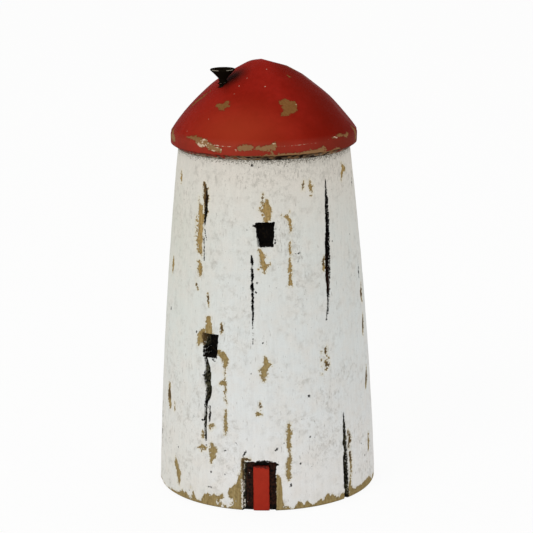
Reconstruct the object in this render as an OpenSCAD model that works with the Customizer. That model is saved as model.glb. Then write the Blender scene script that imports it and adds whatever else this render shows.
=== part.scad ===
// Lighthouse ornament: a turned wooden tower under a carved wooden roof, with a screw for a chimney.
// Millimetres, +Z up. The origin is the middle of the foot, and the door faces -Y.

/* [Tower] */
// Diameter of the tower at its foot
base_d = 77; // [68:1:90]
// Diameter of the tower under the roof
neck_d = 59.5; // [50:0.5:62]
// Height of the tower, from the table to the seat of the roof
tower_h = 119.9; // [105:0.1:140]
// How far the side bows outwards at mid height
side_bow = 1.15; // [0:0.05:2.5]
// Radius of the worn edge round the foot
foot_round = 0.8; // [0.2:0.1:2]

/* [Roof] */
// Largest diameter of the roof, at its rim
roof_d = 64.5; // [62.5:0.5:72]
// Height of the bevel under the rim
eave_h = 1.5; // [0.6:0.1:3]
// Height of the band round the rim
rim_h = 4.1; // [3:0.1:8]
// Radius of the worn edge between the band and the dome
rim_round = 0.9; // [0.3:0.1:1.2]
// Height of the dome above the band
dome_h = 24.5; // [20.5:0.5:34]
// Shape of the dome, where 0 is a cone and 1 is an ellipse
dome_fullness = 0.5; // [0.25:0.01:0.8]
// Depth of the deepest flat that the carver's knife left on the dome
flat_cut = 0.8; // [0.1:0.05:1]

/* [Roof dowel] */
// Diameter of the dowel that joins the roof to the tower
dowel_d = 10; // [6:0.5:14]
// Length of the dowel, half of it in each piece
dowel_l = 30; // [18:1:34]
// Bevel at each end of the dowel
dowel_bevel = 1; // [0.3:0.1:1.5]
// Glue film between the dowel and its sockets, on each side
glue_film = 0.05; // [0.02:0.01:0.15]
// Room for spare glue past each end of the dowel
glue_pocket = 0.8; // [0.2:0.1:2]

/* [Chimney screw] */
// Diameter of the screw's head
head_d = 8.4; // [6.5:0.1:10]
// Height of the flared head
head_h = 3.6; // [2.4:0.1:4.4]
// Curve of the flare under the head, where 1 is a straight cone
head_curve = 1.15; // [1:0.05:2]
// Thickness of the head's upright edge
head_edge = 0.35; // [0.15:0.05:0.6]
// Outer diameter of the thread
thread_d = 3.5; // [3.1:0.1:4.2]
// Diameter of the core inside the thread
core_d = 2.4; // [1.8:0.1:2.8]
// Distance from one thread ridge to the next
thread_pitch = 1.25; // [1:0.05:1.8]
// Length of the screw from the top of its head to its tip
screw_l = 25; // [18:1:27]
// Length of the pointed tip
tip_l = 4; // [2.5:0.1:5]
// How far the screw is left standing out of the roof
screw_out = 5.1; // [4.8:0.1:9]
// Place of the screw down the dome, as a share of the dome's height
screw_down = 0.3; // [0.2:0.01:0.38]
// Place of the screw round the roof, from the door towards +X, in degrees
screw_side = -53; // [-180:1:180]
// Lean of the screw from upright, in degrees
screw_lean = 1.5; // [0:0.5:8]
// Side the screw leans to, from the door towards +X, in degrees
lean_side = -10; // [-180:1:180]
// Span of the cross recess in the head
cross_span = 4.2; // [3:0.1:5]
// Width of each slot of the cross recess
cross_slot = 1.1; // [0.7:0.1:1.5]
// Depth of the cross recess
cross_depth = 1.7; // [1:0.1:2]

/* [Door] */
// Width of the door
door_w = 5.5; // [4:0.1:8]
// How far the middle of the door stands to the right of the tower's middle
door_x = 0.4; // [-2:0.1:2]
// Height of the door
door_h = 15.9; // [10:0.1:24]
// Thickness of the door
door_t = 3; // [2:0.1:5]
// Width of the carved border at the left of the door
border_left = 3.7; // [1:0.1:5]
// Width of the carved border at the right of the door
border_right = 2.3; // [1:0.1:5]
// Height of the carved border above the door
border_top = 1.5; // [0.5:0.1:3]
// Depth of the carved border
border_cut = 1.2; // [0.4:0.1:1.8]
// How far the face of the door lies behind the tower's surface
door_back = 0.2; // [0:0.05:0.4]

/* [Windows] */
// Width of a window at its top
window_w = 6.2; // [4:0.1:8]
// How much narrower a window is at its sill
window_taper = 1; // [0:0.1:2]
// Height of a window
window_h = 8; // [5:0.1:12]
// Depth of a window
window_cut = 3.6; // [1.5:0.1:6]
// Height of the upper window's sill above the table
upper_sill = 91.2; // [80:0.1:96]
// Place of the upper window round the tower, from the door towards +X, in degrees
upper_side = 4; // [-20:1:20]
// Height of the lower window's sill above the table
lower_sill = 52.5; // [35:0.1:70]
// Place of the lower window round the tower, from the door towards +X, in degrees
lower_side = -28.5; // [-60:0.5:-18]

/* [Drying checks] */
// Depth of the drying checks in the wood
check_cut = 3; // [1:0.1:6]
// Width of the widest drying check, the others in proportion
check_w = 2; // [0.8:0.1:3]

/* [Hidden] */

$fn = 96;
// Gap that keeps the thread and the door clear of the wood round them
snug = 0.03;
// How far a cutting tool reaches past the surface that it cuts
over = 2;
SIDE_STEPS = 14;
DOME_STEPS = 16;
ARC_STEPS = 5;
CHECK_STEPS = 6;

eave_z = tower_h + eave_h;
band_z = eave_z + rim_h;
peak_z = band_z + dome_h;
roof_r = roof_d / 2;

// Drying checks: place round the tower in degrees, middle height and length as shares of
// tower_h, width as a share of check_w, and lean to the right in degrees.
// The first six show from the front.
CHECKS = [
    [-34.7, 0.8, 0.18, 0.6, 0],
    [-4, 0.61, 0.25, 0.4, 0],
    [43.2, 0.74, 0.4, 1, 4.3],
    [-29.6, 0.31, 0.26, 0.7, 1.5],
    [49, 0.13, 0.25, 0.8, 0],
    [-76, 0.19, 0.17, 0.4, 0],
    [82, 0.66, 0.09, 0.4, -1],
    [108, 0.44, 0.34, 0.7, 1],
    [131, 0.83, 0.16, 0.5, 0],
    [153, 0.2, 0.26, 0.9, -1],
    [181, 0.62, 0.3, 0.8, 1.5],
    [207, 0.35, 0.18, 0.45, 0],
    [232, 0.76, 0.25, 0.6, -1],
    [254, 0.42, 0.27, 0.7, 1]
];

// The carver's flats: place round the dome in degrees, place down it as a share of dome_h, and
// depth as a share of flat_cut. The first four run down the dome's right side, and the next two
// lie at the left of the peak.
FLATS = [
    [116, 0.03, 1], [107, 0.13, 0.5], [97, 0.32, 0.7], [90, 0.72, 0.6],
    [-105, 0.16, 0.75], [-130, 0.01, 0.2], [-35, 0.06, 0.2], [25, 0.1, 0.2], [5, 0.3, 0.15],
    [154, 0.07, 0.75], [-160, 0.14, 0.5], [140, 0.3, 0.45], [-170, 0.33, 0.5],
    [-125, 0.4, 0.45], [125, 0.65, 0.45], [165, 0.68, 0.5], [-150, 0.7, 0.4]
];

// Outline of the tower: radius at height z, and the side's lean outwards per millimetre down
function tower_r(z) =
    let (t = z / tower_h)
    base_d / 2 + (neck_d - base_d) / 2 * t + 4 * side_bow * t * (1 - t);
function tower_slope(z) = (tower_r(z - 1) - tower_r(z + 1)) / 2;
function tower_outline(inset) = concat(
    [[0, 0]],
    [for (i = [0 : ARC_STEPS])
        let (a = 90 * i / ARC_STEPS)
        [tower_r(foot_round) - inset - foot_round * (1 - sin(a)), foot_round * (1 - cos(a))]],
    [for (i = [1 : SIDE_STEPS])
        let (z = foot_round + (tower_h - foot_round) * i / SIDE_STEPS)
        [tower_r(z) - inset, z]],
    [[0, tower_h]]
);

// Outline of the dome: radius and height at a share of the way down from the peak
function dome_r(t) = roof_r * ((1 - dome_fullness) * t + dome_fullness * sqrt(t * (2 - t)));
function dome_z(t) = band_z + dome_h * (1 - t);
function dome_slope(t) =
    atan2(dome_h * 0.02, dome_r(t + 0.01) - dome_r(t - 0.01));

// The worn edge over the band turns from upright to the slope at the foot of the dome, and the
// lower corner of the band is worn half as much
rim_turn = 90 - dome_slope(0.97);
corner = rim_round / 2;
function rim_edge(i) =
    let (a = rim_turn * i / ARC_STEPS)
    [roof_r - rim_round * (1 - cos(a)), band_z - rim_round + rim_round * sin(a)];

function roof_outline() = concat(
    [[0, tower_h], [neck_d / 2, tower_h], [roof_r - corner, eave_z], [roof_r, eave_z + corner]],
    [for (i = [0 : ARC_STEPS]) rim_edge(i)],
    [for (i = [DOME_STEPS : -1 : 1])
        let (t = pow(i / (DOME_STEPS + 1), 1.5))
        [dome_r(t), dome_z(t)]],
    [[0, peak_z]]
);

// Outline of the screw from its tip at -screw_l to its head at 0, grown by a gap.
// The thread is drawn as separate ridges, with sides at 60 degrees and a blunt crest.
ridges = floor((screw_l - head_h - tip_l) / thread_pitch);
ridge_side = (thread_d - core_d) / 2 * tan(30);
ridge_crest = thread_pitch * 0.08;
function ridge(i, gap) =
    let (z = -head_h - thread_pitch * (i + 0.5))
    [[core_d / 2 + gap, z - ridge_side - ridge_crest / 2], [thread_d / 2 + gap, z - ridge_crest / 2],
     [thread_d / 2 + gap, z + ridge_crest / 2], [core_d / 2 + gap, z + ridge_side + ridge_crest / 2]];
function flare(i) =
    let (up = i / ARC_STEPS)
    [core_d / 2 + (head_d - core_d) / 2 * pow(up, head_curve), -head_h + (head_h - head_edge) * up];
function screw_outline(gap) = concat(
    [[0, -screw_l - gap], [core_d / 2 + gap, -screw_l + tip_l]],
    [for (i = [ridges - 1 : -1 : 0]) each ridge(i, gap)],
    [for (i = [0 : ARC_STEPS]) flare(i) + [gap, 0]],
    [[head_d / 2 + gap, gap], [0, gap]]
);

// Puts a child that is drawn round the origin, facing -Y, onto the tower's surface
module on_tower(side, z) {
    rotate([0, 0, side]) translate([0, -tower_r(z), z]) children();
}

// Puts a child that is drawn round the top of the screw's head where the screw stands
module at_screw() {
    rotate([0, 0, screw_side])
        translate([0, -dome_r(screw_down), dome_z(screw_down)])
            rotate([0, 0, lean_side - screw_side])
                rotate([screw_lean, 0, 0])
                    translate([0, 0, screw_out])
                        children();
}

module tower_blank(inset = 0) {
    rotate_extrude() polygon(tower_outline(inset));
}

// A chiselled window: a flat-backed pocket, wider at the top than at the sill
module window_pocket(side, sill) {
    top = window_w / 2;
    foot = (window_w - window_taper) / 2;
    middle = sill + window_h / 2;
    on_tower(side, middle)
        translate([0, window_cut, 0])
            rotate([90, 0, 0])
                linear_extrude(window_cut + over)
                    polygon([[-foot, -window_h / 2], [foot, -window_h / 2],
                             [top, window_h / 2], [-top, window_h / 2]]);
}

// A drying check: a narrow split that runs to a point at both ends, as deep all along
module drying_check(check) {
    z = check[1] * tower_h;
    half_l = check[2] * tower_h / 2;
    half_w = check[3] * check_w / 2;
    on_tower(check[0], z)
        rotate([-atan(tower_slope(z)), 0, 0])
            rotate([0, check[4], 0])
                translate([0, check_cut, 0])
                    rotate([90, 0, 0])
                        linear_extrude(check_cut + over)
                            polygon(concat(
                                [for (i = [-CHECK_STEPS : CHECK_STEPS])
                                    let (s = i / CHECK_STEPS)
                                    [half_w * (1 - s * s), half_l * s]],
                                [for (i = [CHECK_STEPS - 1 : -1 : 1 - CHECK_STEPS])
                                    let (s = i / CHECK_STEPS)
                                    [-half_w * (1 - s * s), half_l * s]]
                            ));
}

// The carved border round the door follows the tower's surface
module door_border() {
    difference() {
        translate([door_x - door_w / 2 - border_left, -base_d, -over])
            cube([border_left + door_w + border_right, base_d, over + door_h + border_top]);
        tower_blank(border_cut);
    }
}

// The mortise that the door stands in, open in front and below, grown by a gap
module door_space(gap = 0) {
    behind = base_d / 2 - door_back - door_t;
    translate([door_x - door_w / 2 - gap, -base_d, -over])
        cube([door_w + 2 * gap, base_d - behind + gap, over + door_h + gap]);
}

module dowel_socket() {
    translate([0, 0, tower_h - dowel_l / 2 - glue_pocket])
        cylinder(d = dowel_d + 2 * glue_film, h = dowel_l + 2 * glue_pocket);
}

module tower() {
    color("whitesmoke")
        difference() {
            tower_blank();
            window_pocket(upper_side, upper_sill);
            window_pocket(lower_side, lower_sill);
            door_border();
            door_space(snug);
            dowel_socket();
            for (check = CHECKS) drying_check(check);
        }
}

// A flat left by the knife: everything over a plane a little way under the dome's surface
module carved_flat(side, down, depth) {
    rotate([0, 0, side])
        translate([0, -dome_r(down), dome_z(down)])
            rotate([dome_slope(down), 0, 0])
                translate([-roof_r / 2, -roof_r / 2, -depth])
                    cube([roof_r, roof_r, dome_h]);
}

module roof() {
    color("firebrick")
        difference() {
            rotate_extrude() polygon(roof_outline());
            for (flat = FLATS) carved_flat(flat[0], flat[1], flat[2] * flat_cut);
            dowel_socket();
            at_screw() rotate_extrude() polygon(screw_outline(snug));
        }
}

module roof_dowel() {
    r = dowel_d / 2;
    color("burlywood")
        translate([0, 0, tower_h - dowel_l / 2])
            rotate_extrude()
                polygon([[0, 0], [r - dowel_bevel, 0], [r, dowel_bevel], [r, dowel_l - dowel_bevel],
                         [r - dowel_bevel, dowel_l], [0, dowel_l]]);
}

// One slot of the cross recess, with sloping ends
module cross_slot_cut() {
    top = cross_span / 2;
    foot = cross_slot * 0.7;
    translate([0, cross_slot / 2, 0])
        rotate([90, 0, 0])
            linear_extrude(cross_slot)
                polygon([[-foot, -cross_depth], [foot, -cross_depth],
                         [top, 0], [top, over], [-top, over], [-top, 0]]);
}

module chimney_screw() {
    color("dimgray")
        at_screw()
            difference() {
                rotate_extrude() polygon(screw_outline(0));
                for (turn = [0, 90]) rotate([0, 0, turn]) cross_slot_cut();
            }
}

module door() {
    color("firebrick")
        intersection() {
            tower_blank(door_back);
            door_space();
        }
}

tower();
roof();
roof_dowel();
chimney_screw();
door();
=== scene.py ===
import math

import bpy
import numpy as np
from mathutils import Matrix, Vector


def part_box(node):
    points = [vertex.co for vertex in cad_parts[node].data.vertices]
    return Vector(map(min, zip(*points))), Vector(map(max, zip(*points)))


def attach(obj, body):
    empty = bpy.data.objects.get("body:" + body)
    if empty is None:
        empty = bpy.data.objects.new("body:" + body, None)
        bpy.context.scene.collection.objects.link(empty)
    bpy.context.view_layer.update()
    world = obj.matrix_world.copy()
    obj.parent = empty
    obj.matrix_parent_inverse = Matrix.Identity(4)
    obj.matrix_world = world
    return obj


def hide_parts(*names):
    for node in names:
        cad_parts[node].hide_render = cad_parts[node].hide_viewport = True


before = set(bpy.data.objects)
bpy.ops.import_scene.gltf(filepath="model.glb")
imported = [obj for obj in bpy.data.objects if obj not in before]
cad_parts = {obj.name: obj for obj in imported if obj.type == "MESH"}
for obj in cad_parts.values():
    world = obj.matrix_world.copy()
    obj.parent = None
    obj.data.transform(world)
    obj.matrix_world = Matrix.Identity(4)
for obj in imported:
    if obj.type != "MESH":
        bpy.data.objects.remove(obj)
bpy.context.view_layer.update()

# Tower: one block of softwood, turned on a lathe to a taper that bows a little, with a sharp worn foot.
# Windows and the sunk border round the door are chiselled and blacked, and drying checks have split it.
# Its chalky white paint was brushed on thin and has chipped to the wood, most of all round the foot.
MM = 0.001
TOWER_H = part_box("tower")[1].z / MM
BASE_R = 38.5
NECK_R = 29.75
SIDE_BOW = 1.15
FOOT_ROUND = 0.8
PAINT_T = 0.22
CHECK_CUT = 2.6
SOCKET_R = 5.05
SOCKET_CUT = 15.8
TOWER_COLUMNS = 522
TOWER_ROWS = 177
SHARP_EDGE = 38

# Windows: middle in degrees from the door towards +X, sill height, and the shared sizes of a window
WINDOWS = [(4, 91.2), (-28.5, 52.5)]
WINDOW_TOP = 6.2
WINDOW_FOOT = 5.2
WINDOW_H = 8
WINDOW_CUT = 3.6

# Door: middle and size of the slip, and the width and depth of the sunk border round it
DOOR_X = 0.4
DOOR_W = 5.5
DOOR_H = 15.9
DOOR_T = 3
DOOR_BACK = 0.2
BORDER_LEFT = 3.7
BORDER_RIGHT = 2.3
BORDER_TOP = 1.5
BORDER_CUT = 1.2
DOOR_ROOM = 0.15

# Drying checks in front, as chains of places: degrees round, height, half width of the split
FRONT_CHECKS = [
    [(-36.4, 110.6, 0.12), (-35.9, 109.2, 0.3)], [(-34.9, 109.6, 0.14), (-34.6, 108.4, 0.2)],
    [(-35.3, 108.4, 0.35), (-34.9, 106.6, 0.6), (-35.1, 104.7, 0.6), (-34.7, 103, 0.8), (-35, 100.6, 0.6),
     (-35.3, 97.6, 0.4)], [(-35, 95.6, 0.25), (-33.2, 92.3, 0.12)],
    [(-35.3, 93.2, 0.15), (-34.8, 89, 0.2), (-34.3, 84.8, 0.16)],
    [(-4.1, 88.1, 0.3), (-3.7, 86.5, 0.6), (-3.5, 85.2, 0.4)], [(-4, 83.8, 0.38), (-3.6, 82.6, 0.45)],
    [(-3.6, 81.6, 0.5), (-3.4, 80.8, 0.55), (-3.8, 79.6, 0.35)],
    [(-3.5, 78.6, 0.45), (-3.8, 77.4, 0.6), (-3.4, 76.3, 0.35)], [(-3.7, 75.5, 0.45), (-3.4, 74.4, 0.3)],
    [(-3.4, 73.5, 0.36), (-3.5, 72.3, 0.46)], [(-3.6, 71.6, 0.38), (-3.3, 70, 0.4)],
    [(-3.2, 69, 0.36), (-3.5, 65.2, 0.26)], [(-3.4, 64.4, 0.2), (-3.3, 61.8, 0.15), (-3.3, 58.2, 0.05)],
    [(46, 112, 0.15), (45.8, 108.4, 0.5), (45.6, 105, 0.72), (45.3, 101.7, 0.85), (45.1, 97.6, 0.9),
     (44.6, 94.3, 0.9), (44, 90.9, 1), (43.5, 87.6, 1.05), (43.3, 84.2, 1.1), (42.9, 80.8, 1),
     (42.4, 77.4, 0.8), (42.3, 74, 0.6), (41.8, 70.3, 0.38)],
    [(41.6, 69.2, 0.32), (40.6, 66.3, 0.34), (39.9, 64.2, 0.1)], [(-30.9, 51.9, 0.65), (-30.1, 49.6, 0.95)],
    [(-29.3, 49, 0.75), (-29.7, 46.6, 1.35), (-30, 44.5, 1.5), (-29, 42.9, 1.15)],
    [(-30.6, 46.1, 0.45), (-33.2, 45.8, 0.12)], [(-28.6, 41.6, 1.1), (-28.9, 39.7, 1.2), (-29.2, 38.2, 0.9)],
    [(-29.9, 37.4, 0.65), (-30.3, 35.7, 0.6), (-30.3, 33.6, 0.55), (-30.5, 30.4, 0.6), (-30.5, 26.9, 0.48),
     (-30.1, 24.1, 0.48)], [(-28.1, 36.1, 0.2), (-27.7, 34.2, 0.24)],
    [(-27.5, 33.3, 0.36), (-28.1, 30.4, 0.28)],
    [(49, 31, 0.2), (49.2, 28.4, 0.55), (49.3, 24.9, 0.7), (49.3, 22.4, 0.85)],
    [(49.2, 22, 0.9), (49.4, 19.8, 1.05), (49.7, 17.5, 0.8)],
    [(49.3, 16.6, 0.85), (49.3, 14.4, 1.2), (49.5, 11.5, 1.3), (49.6, 7.9, 1.25), (49.6, 4.3, 1.25),
     (49.8, 0.4, 1.05)], [(-76.2, 33, 0.08), (-76, 26, 0.4), (-75.8, 19, 0.4), (-75.6, 13, 0.08)],
    [(76.7, 81, 0.1), (76.1, 77.6, 0.55), (75.7, 75, 0.2)],
    [(80.1, 109.8, 0.1), (79.7, 107.7, 0.45), (79.6, 106, 0.1)],
]

# Drying checks at the sides and back: degrees round, middle height and length as shares of the
# tower's height, half width, lean to the right in degrees
BACK_CHECKS = [
    (108, 0.44, 0.34, 0.7, 1), (131, 0.83, 0.16, 0.5, 0), (153, 0.2, 0.26, 0.9, -1),
    (181, 0.62, 0.3, 0.8, 1.5), (207, 0.35, 0.18, 0.45, 0), (232, 0.76, 0.25, 0.6, -1),
    (254, 0.42, 0.27, 0.7, 1),
]

# Specks and dashes of black paint and dirt, and along the top under the roof, painted shade
SPECKS = [
    [(-4.1, 118.4, 0.42)], [(55.4, 115.1, 0.06)], [(-66.5, 65.1, 0.5)], [(-0.9, 79.1, 0.3)],
    [(-1.5, 75.7, 0.36)], [(-8.9, 77, 0.2)], [(24, 88.6, 0.32)], [(23.2, 85.6, 0.18)], [(-6.8, 96.8, 0.18)],
    [(2.2, 58.8, 0.32)], [(26.9, 39.4, 0.5)], [(26.8, 25.2, 0.3)], [(21.5, 16.3, 0.28)],
    [(64.4, 17.5, 0.22)], [(66.1, 16.6, 0.1)], [(68.1, 12.3, 0.3)],
    [(-12.6, 23.6, 0.16), (-11.8, 23.3, 0.12)], [(-13.4, 24.4, 0.06)], [(-18.6, 20.6, 0.32)],
    [(-26.7, 12.4, 0.34)], [(-18.6, 12.1, 0.26)], [(-28.2, 6.9, 0.22)], [(-26.8, 7, 0.22)],
    [(-38.8, 30.8, 0.28)], [(-50.9, 17.8, 0.16)], [(-52.4, 18.6, 0.06)], [(15.9, 9.4, 0.26)],
    [(15.9, 8.3, 0.22)], [(-32.5, 30.2, 0.22)], [(-30, 22.9, 0.26)], [(-30, 21.6, 0.26)],
    [(-8.5, 19.4, 0.13), (-7.2, 21.3, 0.18)], [(8.1, 21.3, 0.14), (9.4, 22.3, 0.18)], [(10.5, 97.1, 0.24)],
    [(10.2, 95.4, 0.2)], [(10, 93.3, 0.26)], [(9.8, 92.4, 0.24)], [(-3, 98.4, 0.24), (-1.6, 98, 0.45)],
    [(-26.6, 53.2, 0.28), (-24.4, 52.6, 0.32)], [(-26.4, 51.9, 0.2), (-25.2, 51.4, 0.14)],
    # Along the top under the roof: painted shade as well as dirt
    [(3, 119.5, 0.12), (6, 119.6, 0.16)], [(18, 119.6, 0.14), (21, 119.5, 0.1)], [(38, 119.4, 0.12)],
    [(18.8, 117.8, 0.08)], [(30.4, 117.2, 0.1)], [(0.4, 117.5, 0.06)], [(12.9, 24, 0.2)],
    [(-46.5, 33.6, 0.16)], [(-38.2, 60.4, 0.26)],
]

# Chips down to bare wood in front, as chains of places: degrees round, height, half width
FRONT_CHIPS = [
    [(-36.9, 111.3, 0.55), (-36.3, 109.4, 1), (-35.6, 107.6, 1.1), (-35.2, 104.5, 1.05), (-35, 101.6, 0.8)],
    [(-41, 105.9, 0.26), (-40.2, 104.3, 0.34)],
    [(-39.2, 103, 0.95), (-38.4, 98.7, 1.1), (-38.5, 94.6, 1.1), (-38.7, 90.9, 1.25), (-37.4, 87.9, 0.7),
     (-36.4, 86.8, 0.2)], [(-40.4, 84.7, 0.25), (-38.2, 84.3, 0.75), (-36.6, 84.1, 0.55)],
    [(-37.6, 83.6, 1), (-37.3, 81.8, 1.05), (-37.8, 79.6, 0.5)], [(-40.1, 77.4, 0.36), (-39.4, 76.1, 0.45)],
    [(-38.4, 75.2, 0.28)],
    [(-30.7, 74.2, 0.15), (-30.6, 72.4, 0.42), (-30.1, 71.1, 0.36), (-30.1, 70, 0.15)],
    [(-64.8, 114, 0.2), (-64.3, 111.9, 0.7), (-62.9, 109.5, 0.6)],
    [(-67.6, 83.2, 0.3), (-67.5, 80.6, 1.2), (-67.7, 77.6, 0.5)],
    [(-63.7, 38.5, 0.6), (-63.4, 34.7, 1.6), (-61.8, 31.3, 1.2)], [(-56.1, 32.9, 0.2), (-55.8, 30.4, 0.36)],
    [(-53.8, 13.6, 0.4), (-53.2, 12.2, 0.9)], [(-54.2, 11.3, 0.5), (-52.2, 10.6, 1.2)],
    [(-51.6, 9.7, 0.9), (-50.2, 8.4, 1.3), (-51, 6.9, 0.7)], [(-49.9, 6.2, 1), (-50.4, 4.6, 0.5)],
    [(3.1, 109.3, 0.1), (2.6, 106.9, 0.4)], [(2.5, 106.1, 0.36), (2.4, 105.2, 0.32)],
    [(5.4, 106.4, 0.6), (5.2, 105, 1.1), (5.5, 103.5, 1.4), (5.4, 101.5, 1.25), (4.8, 99.9, 0.85)],
    [(3.2, 103.1, 0.7), (1.1, 103.7, 0.4)], [(2.6, 101.9, 0.3), (4, 101.4, 0.5)],
    [(0.7, 89.9, 0.55), (2, 88, 0.9), (2.5, 86.2, 0.75), (3.4, 84.6, 1.15), (3.1, 83, 0.45)],
    [(3.8, 87.6, 0.34), (5.6, 87.3, 0.18)], [(4.3, 85.2, 0.5), (6.1, 85.3, 0.28)],
    [(1.4, 84.1, 0.46), (-0.4, 83.6, 0.26)], [(19.2, 102.7, 0.08), (18.4, 101.2, 0.28)],
    [(14.2, 101.4, 0.12), (16.6, 101.2, 0.48), (18.4, 100.4, 0.7), (19.2, 98.4, 0.58), (19.4, 95.8, 0.15)],
    [(18.9, 92.7, 0.1), (18.4, 90.9, 0.48), (18.8, 88.7, 0.28)],
    [(18.4, 86.8, 0.4), (18.5, 83.2, 0.66), (18.2, 80.6, 0.62), (18.5, 78.6, 0.38)], [(17.6, 77.7, 0.2)],
    [(19.5, 77.6, 0.2)], [(29.3, 112.6, 0.36), (28.9, 111, 0.5), (28.5, 109.5, 0.45)],
    [(33.5, 112.5, 0.36), (33.9, 110.4, 0.75), (34.2, 108.8, 0.42)],
    [(34.8, 110.3, 0.48), (36.6, 110.5, 0.2)], [(33.8, 107.6, 0.26)],
    [(64.2, 115.9, 0.45), (66.7, 114, 1.2), (63.6, 112.7, 0.7), (62.2, 110.7, 0.4)],
    [(66.7, 114, 0.6), (69, 113.9, 0.15)], [(40.9, 86.3, 0.26), (40.1, 84.5, 0.56), (39.9, 82, 0.5)],
    [(79, 72.4, 0.4), (77.9, 69.5, 1.3), (78.4, 66.4, 0.6)],
    [(78.2, 61.8, 0.4), (77.2, 58.6, 1.2), (75.3, 55.1, 0.7)],
    [(77.9, 42.8, 0.4), (77.1, 39.4, 1.3), (74.8, 36, 0.6)],
    [(75, 19.2, 0.25), (74.4, 15.8, 0.7), (73.6, 12.8, 0.25)],
    [(39.3, 55.7, 0.26), (38.4, 54.9, 0.42), (38.3, 53.6, 0.34)], [(39.1, 52.5, 0.18)], [(40.3, 51.5, 0.2)],
    [(38.3, 50.3, 0.6), (38.9, 48.8, 0.5), (38, 47.4, 0.34)], [(40.5, 49.4, 0.18)], [(35.5, 53.8, 0.26)],
    [(35.4, 51.3, 0.3)], [(35.2, 49, 0.28)], [(35.2, 46.4, 0.3)], [(-31.4, 65.7, 0.4), (-28.9, 66, 0.5)],
    [(-30, 65.4, 1), (-29.6, 63.9, 1.1), (-29.8, 61.9, 1.4), (-29.8, 60.6, 1.6)],
    [(-32.6, 61.3, 0.8), (-35.2, 60.4, 1)], [(-35.8, 60.1, 1), (-35.7, 57.9, 1.35), (-36.9, 56.3, 0.7)],
    [(-34.6, 59, 1), (-33.6, 57.2, 0.7)], [(-21.4, 64.4, 0.15), (-21.4, 61.7, 0.3)],
    [(-24.4, 54.6, 0.4), (-22.9, 54.6, 0.8), (-20.8, 53.9, 1.3), (-18.7, 52.4, 1.2), (-18.9, 50.4, 0.7)],
    [(-19.2, 49.8, 0.2), (-18.9, 46, 0.22)], [(-21.7, 43.8, 0.36), (-19.6, 44.3, 0.76), (-18.6, 44.2, 0.66)],
    [(-18.7, 43.6, 0.4), (-18.2, 41.3, 0.22)], [(-19, 41.1, 0.3), (-18.8, 38.9, 0.4), (-17.7, 37.2, 0.28)],
    [(-18.4, 34.8, 0.36), (-18.5, 32.2, 0.62), (-18.3, 29.1, 0.55), (-18.4, 26.6, 0.28)],
    [(2.9, 54, 0.3), (3.7, 52.6, 0.8), (4.4, 51.4, 1), (3.2, 50.4, 0.9)],
    [(4.6, 51.6, 0.8), (6.2, 51.2, 0.5)], [(3, 50, 0.9), (0.9, 49.6, 0.8)],
    [(2.6, 49, 0.8), (2.6, 47.8, 1.2), (2.2, 46.6, 0.8)], [(-28.5, 28.5, 0.48), (-25.3, 29, 0.56)],
    [(-27.2, 28.8, 0.46), (-27.6, 26.7, 0.18)], [(-32.4, 26.1, 0.3), (-32.3, 24.2, 0.46)],
    [(-34.8, 20.2, 0.5), (-32.4, 20.9, 0.9), (-30.9, 20.4, 0.8)], [(-32.4, 20.4, 0.5), (-32.8, 19, 0.2)],
    [(-26.7, 22.3, 0.8), (-25.7, 20.4, 1.4), (-26.1, 18.4, 1.1), (-27, 15.5, 0.3)],
    [(-1, 34.3, 0.6), (0.7, 34.1, 0.42)], [(0.3, 38.4, 0.2), (0.5, 36.7, 0.5)],
    [(15.5, 30.4, 0.6), (15.5, 27.7, 0.9), (14.9, 25, 0.75), (15.4, 22.2, 0.55), (15.4, 19.6, 0.3)],
    [(15.7, 18.8, 0.45), (14.9, 15.9, 0.85), (14.8, 13, 0.95), (14.9, 11.4, 0.6)],
    [(52.2, 24.2, 0.3), (53.4, 21.3, 0.7), (52.3, 18.5, 0.55)],
    [(52.9, 16.2, 0.36), (53.8, 12.2, 0.7), (52.8, 8, 0.46), (52.4, 2.7, 0.66)],
    [(-9.4, 15.6, 0.12), (-9.6, 13.4, 0.3), (-10.8, 12.6, 0.5)],
    [(-8.9, 18.1, 0.32), (-7, 18.3, 0.45), (-5.4, 18.1, 0.35)],
    [(8.8, 12.6, 0.5), (9.4, 11, 0.8), (9.6, 8, 0.8), (9.2, 5, 0.6)], [(-40.2, 5.2, 0.2)],
]
# The saw-toothed edges of the long chip by the left check, and of the check's brown top
FRONT_CHIPS += [[(-39.4, z, 0.5), (-42.2 - 0.3 * (z % 3), z + 0.5, 0.1)]
                for z in np.arange(88.4, 100, 1.35)]
FRONT_CHIPS += [[(-36, z, 0.4), (-33.6 + 0.4 * (z % 2), z + 0.3, 0.12)]
                for z in np.arange(100.2, 110.5, 1.15)]

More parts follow.
